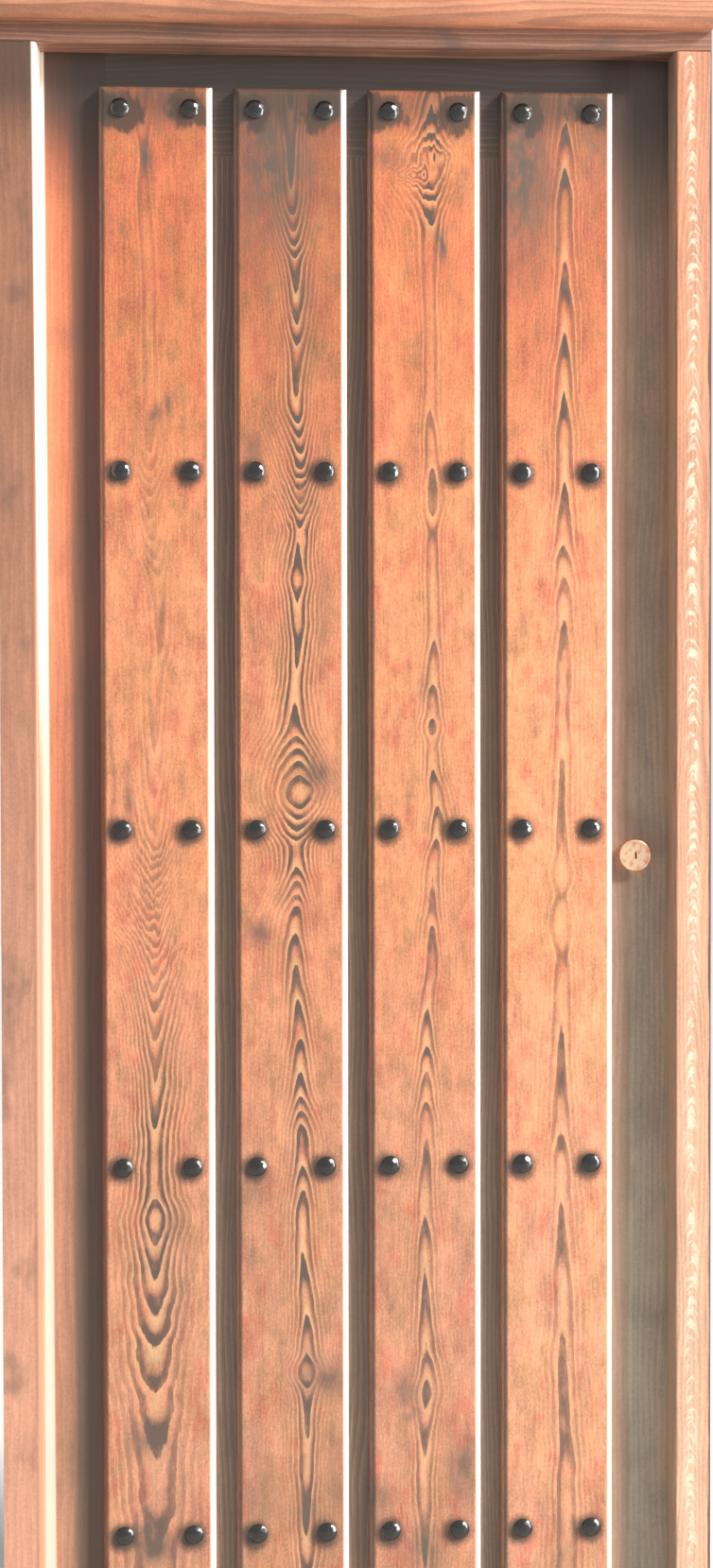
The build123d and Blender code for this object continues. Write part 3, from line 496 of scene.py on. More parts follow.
        1023, 5.45, 1052, 5.7, 1146, 5.95, 1155, 6.05, 1182, 6.2, 1204, 6.36, 1228, 6.24, 1258, 6.28,
        1269, 6.42, 1300, 6.85, 1310, 6.97, 1317, 7.08, 1341, 7.28, 1346, 7.42, 1372, 7.93, 1384, 8.12,
        1393, 8.42, 1405, 8.9, 1417, 9.06, 1432, 9.28, 1444, 9.42, 1485, 9.95, 1495, 10.05, 1560, 10.28,
        1566, 10.42, 1597, 10.93, 1609, 11.06, 1637, 11.28, 1645, 11.42, 1673, 11.93, 1687, 12.06,
        1713, 12.28, 1719, 12.42, 1769, 12.95, 1781, 13.05, 1849, 13.28, 1858, 13.42, 1882, 13.93, 1898, 14.1,
        1909, 14.28, 1915, 14.42, 1942, 14.93, 1952, 15.06, 1984, 15.3, 1986, 15.4,
    ),
    "spread": (52, 0.16, 400, 0.18, 1984, 0.2),
    "breadth": (52, 1.9, 330, 1.6, 620, 1.0, 1984, 1.0),
    "tip": (52, 16, 400, 14, 890, 12, 924, 22, 962, 10, 990, 22, 1010, 12, 1984, 12),
    "strength": (52, 0.8, 700, 0.78, 950, 0.7, 1250, 0.66, 1500, 0.95, 1984, 0.95),
    "tone": (52, 1.1, 300, 1.12, 1200, 1.12, 1500, 1.0, 1700, 0.86, 1984, 0.78),
    "core": 10.0,
    "reach": (20.0, 22.0),
    "top_shade": 0.75,
    "wiggle": (1250, 200, 0.2),
    "knots": ((300, 200, 16, 60, 0.6),),
    "marks": (
        (212, 1310, 9, 24, 0.4), (212, 1880, 40, 110, 0.8), (302, 1900, 24, 60, 0.4), (262, 120, 30, 60, 0.3),
        (300, 150, 14, 60, 0.25),
    ),
}]


# The lowest and highest value that each of a flame's curves may take.
CURVE_LIMITS = {"growth": (0.0, 64.0), "spread": (0.0, 0.4), "breadth": (0.0, 2.0), "tip": (0.0, 45.0),
                "strength": (0.0, 1.0), "tone": (0.4, 1.4)}


def hill(across, along, place, half_width, half_height):
    """A soft hill: e to the -(dx / half width)^2 - (dz / half height)^2."""
    return (across - place[0]).bell(half_width) * (along - place[1]).bell(half_height)


def upright(flat):
    """A flat run of heights and values as curve points, with each height as a part of the full height."""
    return [(height / FULL_HEIGHT, value) for height, value in zip(flat[::2], flat[1::2])]


def stud_distance(x, z, centre):
    """How far a point on a board is from the nearest stud's middle: two columns and five rows."""
    dx = abs(abs(x - centre) - STUD_OFFSET)
    dz = abs(z - ROW_HEIGHTS[0])
    for height in ROW_HEIGHTS[1:]:
        dz = dz.least(abs(z - height))
    return (dx * dx + dz * dz) ** 0.5


def flamed_pine(index, look):
    """Flat-sawn, varnished pine with its flame.

    Growth rings lie where spread * (sqrt(u^2 + tip^2) - tip) + growth(height) + knots + ripples is whole, with
    u the distance from the flame's middle line. Late wood is dark near the line and fades towards the sides.
    """
    flame = FLAMES[index]
    board = BOARDS[index]
    pine = Finish(f"flamed_pine_{index + 1}")
    x, y, z = pine.place()
    tall = z / FULL_HEIGHT
    middles = flame["line"][1::2]
    line = pine.curve(tall, upright(flame["line"]), min(middles) - 1, max(middles) + 1)
    growth, spread, breadth, tip, strength, tone = [
        pine.curve(tall, upright(flame[key]), bottom, top) for key, (bottom, top) in CURVE_LIMITS.items()]
    wander = pine.noise(x / 90, y / 90, z / 120 + index, detail=1.0)
    ripple = pine.noise(x / 15 + 7.3 * index, y / 15, z / 34, detail=3.0, roughness=0.6)
    lean = pine.noise(0.31, 5.7 * index, z / 110)
    u = x - line - wander * 2.0
    u = u + abs(u) * lean * 0.3
    rings = ((u * u + tip * tip) ** 0.5 - tip) * spread + growth
    rings = rings + ripple * abs(u).rise(0.0, 26.0) * 0.26 + ripple * 0.08 + (y - BOARD_FRONT) * 0.05
    height, half_height, depth = flame["wiggle"]
    rings = rings + pine.noise(x / 8, y / 8, z / 42, detail=1.0) * (z - height).bell(half_height) * depth
    for across, height, half_width, half_height, depth in flame["knots"]:
        rings = rings + hill(x, z, (across, height), half_width, half_height) * depth
    own = pine.noise(rings.whole() * 0.731, 3.3 * index, 0.4, detail=0.0)
    part = (rings + pine.noise(x / 4.5, y / 4.5, z / 24) * 0.07).fraction()
    dark = part.rise(0.26, 0.62) - part.rise(0.92, 0.995)
    pale = 1.0 - part.rise(0.02, 0.34) + part.rise(0.95, 0.995)
    left_reach, right_reach = flame["reach"]
    near = u.bell(breadth * flame["core"])
    wide = u.bell(breadth * (u.rise(-4.0, 4.0) * (right_reach - left_reach) + left_reach))
    patchy = pine.noise(x / 13, y / 13 + 3.1, z / 30, detail=4.0, roughness=0.65).rise(-0.6, 0.3)

    fibre = pine.noise(x / 1.8, y / 1.8, z / 60, detail=3.0, roughness=0.65)
    fine = pine.noise(x / 0.7, y / 0.7, z / 8, detail=2.0, roughness=0.7)
    cloud = pine.noise(x / 30 + 2.0 * index, y / 30, z / 70, detail=4.0, roughness=0.65)
    speck = pine.noise(x / 2.6, y / 2.6, z / 3.4, detail=3.0, roughness=0.75)
    warm = pine.noise(x / 60, y / 60, z / 160 + 4.7 * index, detail=3.0)
    blush = pine.noise(x / 24 + 3.3, y / 24 + 1.9 * index, z / 46, detail=4.0, roughness=0.65)

    colour = pine.lay(look.board,
                      (tall.rise(0.2, 0.5), look.board_middle),
                      (tall.rise(0.6, 0.86), look.board_top),
                      (warm.rise(-0.3, 0.5) * 0.3, AMBER),
                      (blush.rise(-0.05, 0.55) * 0.65, ROSE),
                      ((0.0 - blush).rise(0.05, 0.5) * 0.5, OLIVE))
    colour = pine.shade(colour, (1.0 + fibre * 0.3 + fine * 0.2 + cloud * 0.5 + speck * 0.5) * tone)
    fade = (own * 0.9 + 0.8).least(1.0)
    light = pale * (wide * 0.8 * fade + 0.05) * strength * (patchy * 0.5 + 0.35)
    depth = near * (patchy * 0.6 + 0.36) + wide * 0.26 * fade + 0.06
    late_wood = pine.mix(near, LATE_WOOD, look.flame)
    colour = pine.lay(colour, (light, look.streak), (dark * strength * depth, late_wood))
    stains = None
    for across, height, half_width, half_height, depth in flame["marks"]:
        mark = hill(x + wander * 8.0, z + cloud * 16.0, (across, height), half_width, half_height) * depth
        stains = mark if stains is None else stains.most(mark)
    stains = (stains * (patchy * 0.7 + 0.65)).least(1.0)
    # The iron mark round each stud, with its painted shadow: the middle is moved 3.5 mm left and 2.5 mm down,
    # away from the light.
    mark_and_shadow = stud_distance(x + 3.5, z + 2.5, middle(board, 0)) + cloud * 5.0 + speck * 2.0
    # Near the top the dark marks round the studs grow wider.
    mark_and_shadow = mark_and_shadow - z.rise(*TOP_MARK) * (cloud * 34.0 + blush * 16.0 + speck * 8.0 + 7.0)
    # Painted shade of the head over the top of each board.
    top_shade = (z + cloud * 30.0 + speck * 8.0).rise(*TOP_SHADE_HEIGHTS) * flame["top_shade"]
    side = x - middle(board, 0)
    colour = pine.lay(colour,
                      (stains, look.stain),
                      ((1.0 - mark_and_shadow.rise(*STUD_MARK_AND_SHADOW)) * 0.88, look.iron_mark_and_shade),
                      (top_shade, look.iron_mark_and_shade),
                      # Painted shade on the board's left edge, which faces away from the light.
                      ((0.0 - side).rise(*SHADED_LEFT_EDGE) * 0.6, look.iron_mark_and_shade),
                      # Painted highlight on the board's right arris, where the light falls.
                      (side.rise(*HIGHLIGHT_EDGE) * (z - low(board, 2)).rise(2.0, 9.0) * 0.85, look.painted_highlight))
    rough = look.varnish + speck * 0.06 + stains * 0.15
    normal = pine.bump(dark * near * 0.1 + fibre * 0.06 + fine * 0.02, 0.4, 1.0)
    return pine.sockets(Base_Color=colour, Roughness=rough, Normal=normal, Coat_Weight=0.5,
                        Coat_Roughness=0.24)


def plain_pine(name, look, tone, along=UPRIGHT, pitch=7.0, wave=1.6, contrast=0.3, shift=0.0, grey=0.2,
               foot=None, head_shadow=None, painted_highlight_strip=None, ribbon=None, shade_and_tone_bands=(), inside=False):
    """Straight-grained pine. along is the axis that its grain follows.

    Growth rings lie where the distance across the grain, divided by the pitch, plus slow noise along it, is
    whole. wave is how far they wander, contrast how dark they are, shift moves the pattern, and grey is how
    strong the grey patches are. foot is the colour at the floor of an upright piece, if it differs. head_shadow
    is the painted shadow of the head, darkest at the top: (Z it starts from, amount). painted_highlight_strip
    is a painted highlight where the light falls by the left reveal: (X it starts from at the floor, X it is
    full at, how far both lie to the left at the head). ribbon is the X of a pale, wavy figure.
    shade_and_tone_bands lists upright bands of painted shade, a shade tone painted on a reveal, and a plain
    dark strip at an edge: (X it starts from, X it is full at, amount, colour). inside gives the face that looks
    into the room its own, less weathered colour.
    """
    pine = Finish(name)
    spots = pine.place()
    run, across, deep = spots[along], spots[2 - along], spots[1]
    slow = pine.noise(across / 55 + shift, deep / 55, run / 380, detail=1.0)
    ripple = pine.noise(across / 14 + shift, deep / 14, run / 60)
    rings = across / pitch + deep / (pitch * 1.7) + slow * wave + ripple * 0.25
    part = (rings + pine.noise(across / 3, deep / 3, run / 40) * 0.1).fraction()
    dark = part.rise(0.3, 0.72) - part.rise(0.9, 0.99)
    fibre = pine.noise(across / 1.8, deep / 1.8, run / 60, detail=3.0, roughness=0.65)
    cloud = pine.noise(across / 40 + shift, deep / 40, run / 130, detail=3.0, roughness=0.6)
    speck = pine.noise(across / 2.4, deep / 2.4, run / 3.0, roughness=0.7)
    patch = pine.noise(across / 60, deep / 60 + shift, run / 90, detail=3.0).rise(0.1, 0.6)
    colour = tone if foot is None else pine.mix((spots[2] / FULL_HEIGHT).rise(0.1, 0.9), foot, tone)
    colour = pine.shade(colour, 1.0 + fibre * 0.2 + cloud * 0.26 + speck * 0.22)
    colour = pine.lay(colour,
                      (dark * contrast, look.flame),
                      ((1.0 - part.rise(0.0, 0.3)) * contrast * 0.7, look.streak),
                      (patch * grey, look.stain))
    if ribbon is not None:
        off = (spots[0] - ribbon - slow * 6.0 - ripple * 4.0) / 7.0
        arcs = pine.noise(across / 9, deep / 9, (run + off * off * 10.0) / 6.5, detail=2.0).rise(-0.12, 0.3)
        front = (0.0 - deep).rise(40.0, 47.0)
        colour = pine.mix(off.bell(1.1) * (arcs * 0.8 + 0.1) * front, colour, linear(255, 240, 210))
    # Upright bands of painted shade, a shade tone painted on a reveal, and a plain dark strip at an edge.
    for start, end, amount, band_tone in shade_and_tone_bands:
        colour = pine.mix((spots[0] + cloud * 3.0).rise(start, end) * amount, colour, band_tone)
    # Painted shadow of the head and drip, darkest at the top.
    if head_shadow is not None:
        start, amount = head_shadow
        colour = pine.mix((spots[2] + cloud * 20.0).rise(start, HEAD_SHADOW_END) * amount, colour, SHADOW_BROWN)
    if inside:
        room = pine.shade(look.inside, 1.0 + fibre * 0.2 + cloud * 0.2 + speck * 0.15)
        colour = pine.mix(deep.rise(-6.0, 2.0), colour, pine.mix(dark * contrast, room, look.flame))
    # Painted highlight on the strip by the left reveal where the light falls, lying further left towards the
    # top.
    if painted_highlight_strip is not None:
        start, end, lean = painted_highlight_strip
        painted_highlight = (spots[0] + spots[2] * lean / FULL_HEIGHT).rise(start, end) * (0.0 - deep).rise(2.0, 8.0)
        colour = pine.mix(painted_highlight, colour, look.painted_highlight)
    normal = pine.bump(dark * 0.06 + fibre * 0.06, 0.4, 1.0)
    return pine.sockets(Base_Color=colour, Roughness=look.varnish + 0.06 + speck * 0.05, Normal=normal,
                        Coat_Weight=0.3, Coat_Roughness=0.28)


def blackened_iron(look):
    """Blackened iron: dark scale with a few brown rubbed places and a tight gloss."""
    iron = Finish("blackened_iron")
    x, y, z = iron.place()
    lump = iron.noise(x / 4, y / 4, z / 4, detail=4.0, roughness=0.6)
    pit = iron.noise(x / 0.9, y / 0.9, z / 0.9)
    colour = iron.shade(look.black, 1.0 + lump * 0.5 + pit * 0.25)
    colour = iron.mix(lump.rise(0.25, 0.6) * 0.2, colour, linear(84, 58, 42))
    normal = iron.bump(lump * 0.4 + pit * 0.1, 0.4, 0.3)
    return iron.sockets(Base_Color=colour, Roughness=0.23 + lump * 0.04 + pit * 0.03, Normal=normal,
                        Specular_IOR_Level=0.75)


def brushed_metal(name, tone, tarnish, lines, roughness=0.36, metallic=0.9, cloudy=0.4):
    """Metal with fine brushing and tarnish in clouds.

    lines are the lengths in millimetres of a mark along X, Y and Z. cloudy is how strong the tarnish is.
    """
    metal = Finish(name)
    x, y, z = metal.place()
    brushing = metal.noise(x / lines[0], y / lines[1], z / lines[2], detail=3.0, roughness=0.7)
    cloud = metal.noise(x / 7, y / 9, z / 9, detail=3.0)
    dot = metal.noise(x / 0.7, y / 0.7, z / 0.7, detail=1.0)
    colour = metal.shade(tone, 1.0 + brushing * 0.08 + dot * 0.03)
    colour = metal.mix(cloud.rise(-0.15, 0.35) * cloudy, colour, tarnish)
    rough = roughness + brushing * 0.06 + cloud * 0.05
    return metal.sockets(Base_Color=colour, Roughness=rough, Metallic=metallic,
                         Normal=metal.bump(brushing * 0.04 + dot * 0.02, 0.3, 0.3))


def brown_enamel(look):
    """Stoved enamel: even dark brown with a fine orange-peel skin and a few rubbed places."""
    enamel = Finish("brown_enamel")
    x, y, z = enamel.place()
    skin = enamel.noise(x / 1.6, y / 1.6, z / 1.6)
    cloud = enamel.noise(x / 14, y / 14, z / 14, detail=3.0)
    colour = enamel.shade(look.enamel, 1.0 + cloud * 0.12 + skin * 0.05)
    colour = enamel.mix(cloud.rise(0.35, 0.7) * 0.25, colour, linear(120, 104, 90))
    normal = enamel.bump(skin * 0.05, 0.3, 0.4)
    return enamel.sockets(Base_Color=colour, Roughness=0.34 + cloud * 0.05, Normal=normal, Coat_Weight=0.4,
                          Coat_Roughness=0.18)


def dress(node, material):
    """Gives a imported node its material."""
    made = nodes[node]
    made.data.materials.clear()
    made.data.materials.append(material)


def dress_all(material, *names):
    """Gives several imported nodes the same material."""
    for node in names:
        dress(node, material)


def cells(points, wrap=False):
    """A grid of points (rows, columns, 3) as a list of points and the four corners of each cell."""
    rows, columns = points.shape[:2]
    row, column = np.meshgrid(np.arange(rows - 1), np.arange(columns if wrap else columns - 1), indexing="ij")
    after = (column + 1) % columns
    here, above = row * columns, (row + 1) * columns
    corners = np.stack([here + column, here + after, above + after, above + column], axis=-1)
    return points.reshape(-1, 3), corners.reshape(-1, 4)


def piece(name, grids, material, body, replaced, angle=30):
    """Joins grids given in millimetres into one closed mesh, turns it outwards and hangs it on a body.

    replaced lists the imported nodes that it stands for. Edges that turn by more than the angle stay sharp.
    """
    counts = np.cumsum([0] + [len(points) for points, _ in grids])
    points = np.concatenate([points for points, _ in grids]) * MM
    corners = np.concatenate([faces + start for (_, faces), start in zip(grids, counts)])
    mesh = bpy.data.meshes.new(name)
    mesh.from_pydata(points.tolist(), [], corners.tolist())
    shell = bmesh.new()
    shell.from_mesh(mesh)
    bmesh.ops.remove_doubles(shell, verts=shell.verts, dist=0.002 * MM)
    bmesh.ops.recalc_face_normals(shell, faces=shell.faces)
    shell.to_mesh(mesh)
    shell.free()
    mesh.shade_smooth()
    mesh.set_sharp_from_angle(angle=math.radians(angle))
    mesh.materials.append(material)
    made = bpy.data.objects.new(name, mesh)
    bpy.context.scene.collection.objects.link(made)
    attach(made, body)
    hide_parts(*replaced)
    return made


def hammered_head(x, z, look, seed):
    """A stud's head: a dome, flattened by hammer marks, with a short rim and a flat back.

    The dome is a ball's cap on a rim. Each hammer mark is a plane that lies a little inside the ball, and the
    surface is the lowest of the ball and all the planes at each point.
    """
    chance = np.random.default_rng(seed)
    cap = STUD_TOP - STUD_RIM
    ball = (STUD_RADIUS ** 2 + cap ** 2) / (2 * cap)
    turn = np.linspace(0, 2 * np.pi, 49)[:-1]
    reach = np.linspace(0, 1, 17)
    edge = STUD_RADIUS * (1 - 0.02 - 0.02 * np.sin(3 * turn + chance.uniform(0, 6)) * chance.uniform(0.3, 1))
    across = reach[:, None] * edge * np.cos(turn)
    up = reach[:, None] * edge * np.sin(turn)
    out = np.sqrt(ball ** 2 - across ** 2 - up ** 2) - ball + STUD_TOP
    count = look.facets
    mark_turn = np.arange(count) * GOLDEN_ANGLE + chance.uniform(0, 6)
    mark_reach = STUD_RADIUS * 0.97 * np.sqrt((np.arange(count) + chance.uniform(0.2, 0.8, count)) / count)
    tilt = np.arcsin(mark_reach / ball)
    normal = np.stack([np.sin(tilt) * np.cos(mark_turn), np.sin(tilt) * np.sin(mark_turn), np.cos(tilt)])
    depth = look.depth * chance.uniform(0.45, 1.25, count)
    level = (ball - depth)[:, None, None]
    first, second, third = normal[:, :, None, None]
    planes = (level - first * across - second * up) / third - ball + STUD_TOP
    out = np.minimum(out, planes.min(axis=0))
    out = np.maximum(out, STUD_RIM * 0.6)
    dome = np.stack([x + across, BOARD_FRONT - out, z + up], axis=-1)
    outline = dome[-1]
    back = np.stack([outline, outline * [1, 0, 1] + [0, BOARD_FRONT, 0]])
    centre = np.broadcast_to(np.array([x, BOARD_FRONT, z]), outline.shape)
    under = np.stack([back[1], centre])
    return [cells(dome, True), cells(back, True), cells(under, True)]


def clenched_shank(x, z, seed):
    """A stud's square shank: a square section carried through the door, bent down behind it and beaten flat.

    The section's half width and half thickness run down to a thin tip along the path, and the path turns a
    quarter circle onto the ledge's face.
    """
    chance = np.random.default_rng(seed)
    lean = chance.uniform(-0.12, 0.12)
    bend = np.linspace(0, np.pi / 2, 7)
    run = np.linspace(2.0, CLENCH_REACH, 8)
    thin = np.linspace(BEND_RADIUS, 0.7, len(run))
    half = SHANK_HALF
    inner = LEAF_BACK - 6.0
    turned = LEAF_BACK + np.sin(bend) * BEND_RADIUS
    path_y = np.concatenate([[BOARD_FRONT, inner], turned, LEAF_BACK + thin])
    path_z = np.concatenate([[0, 0], -(1 - np.cos(bend)) * BEND_RADIUS, -run - BEND_RADIUS + 1.0])
    swing = np.concatenate([np.zeros(2 + len(bend)), run * lean])
    way = np.concatenate([[0, 0], bend, np.full(len(run), np.pi / 2)])
    half_width = np.concatenate([np.full(2 + len(bend), half), np.linspace(2.6, 1.0, len(run))])
    half_thick = np.concatenate([[half, half], np.linspace(2.3, BEND_RADIUS, len(bend)), thin])
    corner = np.linspace(0, 2 * np.pi, 17)[:-1]
    square_a = np.clip(np.cos(corner) * SQUARENESS, -1, 1)
    square_b = np.clip(np.sin(corner) * SQUARENESS, -1, 1)
    along_x = half_width[:, None] * square_a
    lift = half_thick[:, None] * square_b
    points = np.stack([x + swing[:, None] + along_x,
                       path_y[:, None] + lift * np.sin(way)[:, None],
                       z + path_z[:, None] + lift * np.cos(way)[:, None]], axis=-1)
    first = np.stack([np.broadcast_to(points[0].mean(axis=0), points[0].shape), points[0]])
    last = np.stack([points[-1], np.broadcast_to(points[-1].mean(axis=0), points[-1].shape)])
    return [cells(points, True), cells(first, True), cells(last, True)]


def inset_corners(node, axes, inset):
    """The four points that lie inset from a node's sides along two axes, as (first, second) pairs."""
    first, second = [(high(node, axis) - inset, low(node, axis) + inset) for axis in axes]
    return [(first[i % 2], second[i // 2]) for i in range(4)]


def slotted_screw(start, way, length, turn, depth=SCREW_DEPTH, proud=0.0):
    """A slotted screw whose rim lies at start and which goes in along way.

    The face is a grid of straight lines across the head. Lines inside the slot lie lower, and the lines at the
    slot's edges are given twice, high and low, so that its walls stand upright. Below the rim the outline
    shrinks to the shank. proud lifts the middle of a round head.
    """
    head, shank = SCREW_HEAD, SCREW_SHANK
    outer = np.linspace(-1, 1, 9)
    side = np.linspace(SLOT_HALF, head, 7)
    across = np.concatenate([-side[::-1], [-SLOT_HALF, SLOT_HALF], side])
    level = np.zeros(len(side))
    sunk = np.concatenate([level, [SLOT_DEPTH, SLOT_DEPTH], level])
    radius = head - (head - shank) * sunk / depth if proud == 0.0 else np.full(len(across), head)
    half = np.sqrt(np.maximum(radius ** 2 - across ** 2, 0.0))
    a = np.broadcast_to(across[:, None], (len(across), len(outer)))
    b = half[:, None] * outer
    dome = proud * (1 - (a ** 2 + b ** 2) / head ** 2)
    face = np.stack([a, b, sunk[:, None] - np.where(sunk[:, None] > 0, proud * 0.4, dome)], axis=-1)
    loop = np.concatenate([face[:, -1], face[::-1, 0]])
    angle = np.arctan2(loop[:, 1], loop[:, 0])
    neck = np.stack([shank * np.cos(angle), shank * np.sin(angle), np.full(len(loop), depth)], axis=-1)
    foot = neck * [0.7, 0.7, 1] + [0, 0, length - depth]
    end = np.broadcast_to([0.0, 0.0, length], neck.shape)
    rings = np.stack([loop, neck, foot, end])
    forward = np.array(way, dtype=float)
    first = np.cross(forward, [0.3, 0.5, 0.8])
    first = first / np.linalg.norm(first)
    second = np.cross(forward, first)
    right = first * math.cos(turn) + second * math.sin(turn)
    up = np.cross(forward, right)
    axes = np.stack([right, up, forward])
    return [cells(face @ axes + start), cells(rings @ axes + start, True)]


class DOOR_OT_face_boards(bpy.types.Operator):
    """Gives the four face boards their flamed pine"""

    bl_idname = "door.face_boards"
    bl_label = "Face boards"

    def execute(self, context):
        look = context.scene.door_look.timber
        for index, board in enumerate(BOARDS):
            dress(board, flamed_pine(index, look))
        return {"FINISHED"}


class DOOR_OT_leaf_joinery(bpy.types.Operator):
    """Gives the stiles, rail, lining and ledges their pine"""

    bl_idname = "door.leaf_joinery"
    bl_label = "Leaf joinery"

    def execute(self, context):
        look = context.scene.door_look.timber
        # Painted shadow of the head at the top, a painted highlight by the left reveal, and a dark band painted
        # for the shadow of the first face board.
        dress("hinge_stile", plain_pine(
            "hinge_stile_pine", look, look.leaf, pitch=9.0, wave=1.4, contrast=0.12, shift=2.0, grey=0.25,
            foot=linear(204, 155, 124), head_shadow=(1790, 0.94), painted_highlight_strip=(-385, -388, 9), inside=True,
            shade_and_tone_bands=[(-369, -355, 0.72, linear(88, 82, 76))]))
        # Paler, greyer pine than the hinge stile, lightest at the foot, painted to set the tone of the jamb's
        # shade on it; painted shadow of the head at the top, and painted shade of the jamb beside the last face
        # board.
        dress("lock_stile", plain_pine(
            "lock_stile_pine", look, linear(234, 190, 162), pitch=8.0, wave=1.4, contrast=0.14, shift=5.0,
            foot=linear(255, 232, 204), head_shadow=(1740, 0.88), inside=True,
            shade_and_tone_bands=[(356, 346, 0.6, linear(132, 84, 62))]))
        # Dark tone and painted shadow of the head, set for the shade under the head.
        dress("top_rail", plain_pine(
            "rail_pine", look, linear(126, 106, 92), LEVEL, pitch=8.0, wave=1.8, contrast=0.25, shift=3.0,
            head_shadow=(1866, 0.8), inside=True))
        # Dark grey tone, darker at the top than at the foot, painted for the shade in the channels between the
        # face boards.
        for index, board in enumerate(LINING):
            dress(board, plain_pine(
                f"lining_pine_{index + 1}", look, linear(128, 104, 92), pitch=6.5, wave=2.2, shift=1.7 * index,
                foot=linear(166, 142, 124), inside=True))
        for index, ledge in enumerate(LEDGES):
            dress(ledge, plain_pine(
                f"ledge_pine_{index + 1}", look, look.inside, LEVEL, pitch=7.5, wave=2.0, shift=2.3 * index))
        return {"FINISHED"}


class DOOR_OT_frame_joinery(bpy.types.Operator):
    """Gives the jambs, the head and the drip moulding their pine"""

    bl_idname = "door.frame_joinery"
    bl_label = "Frame joinery"

    def execute(self, context):
        look = context.scene.door_look.timber
        # Painted shadow of the drip at the top, a darker tone painted on the lit reveal to tone down the light
        # on it, and a painted highlight leaning onto the reveal towards the top.
        dress("left_jamb", plain_pine(
            "left_jamb_pine", look, linear(182, 124, 96), pitch=11.0, wave=1.8, contrast=0.09, shift=9.0,
            grey=0.6, foot=linear(244, 174, 142), head_shadow=(1880, 0.75), painted_highlight_strip=(-391, -388, 18),
            shade_and_tone_bands=[(-409, -404, 0.8, linear(186, 124, 92))]))
        # A greyer tone painted on the shaded reveal for the colour of the shade there, and a dark red strip at
        # the outer edge.
        dress("right_jamb", plain_pine(
            "right_jamb_pine", look, look.jamb_top, pitch=6.0, wave=3.0, contrast=0.2, shift=11.0, grey=0.1,
            foot=look.jamb, ribbon=423.0,
            shade_and_tone_bands=[(402.5, 400.5, 1.0, linear(205, 172, 146)), (444.8, 446.3, 1.0, linear(122, 82, 62))]))
        dress("head_jamb", plain_pine(
            "head_pine", look, linear(166, 112, 90), LEVEL, contrast=0.35, shift=4.0, grey=0.7))
        dress("head_drip", plain_pine("drip_pine", look, linear(242, 160, 122), LEVEL, shift=6.0))
        return {"FINISHED"}


class DOOR_OT_studs(bpy.types.Operator):
    """Makes the hammered studs with their clenched shanks, one piece to a row"""

    bl_idname = "door.studs"
    bl_label = "Studs"

    def execute(self, context):
        look = context.scene.door_look.iron
        material = blackened_iron(look)
        columns = [middle(board, 0) + side * STUD_OFFSET for board in BOARDS for side in (-1, 1)]
        for row, (node, height) in enumerate(zip(ROWS, ROW_HEIGHTS)):
            grids = []
            for column, x in enumerate(columns):
                grids += hammered_head(x, height, look, 10 * row + column)
                grids += clenched_shank(x, height, 100 + 10 * row + column)
            piece(f"hammered_studs_{row + 1}", grids, material, "leaf", [node], angle=22)
        return {"FINISHED"}


class DOOR_OT_hinges(bpy.types.Operator):
    """Gives the hinges their brass and makes their slotted screws"""

    bl_idname = "door.hinges"
    bl_label = "Hinges"

    def execute(self, context):
        look = context.scene.door_look.lock
        brass = brushed_metal("hinge_brass", look.brass, OLD_BRASS, lines=(3.0, 3.0, 40.0))
        for i in (1, 2, 3):
            dress_all(brass, f"hinge_frame_plate_{i}", f"hinge_leaf_plate_{i}", f"hinge_pin_{i}")
        plates = [middle(f"hinge_leaf_plate_{i}", 2) for i in (1, 2, 3)]
        for node, side, body in (("hinge_screws_frame", -1, "frame"), ("hinge_screws_leaf", 1, "leaf")):
            face = high(node, 0) if side < 0 else low(node, 0)
            far = high(node, 1) - SCREW_HEAD
            near = low(node, 1) + SCREW_HEAD
            grids = []
            for i, height in enumerate(plates):
                for k, step in enumerate(HINGE_SCREW_STEPS):
                    start = (face, far if k in (1, 2) else near, height + step)
                    grids += slotted_screw(start, (side, 0, 0), SHORT_SCREW, 1.7 * (4 * i + k) + side)
            piece(f"slotted_{node}", grids, brass, body, [node])
        return {"FINISHED"}


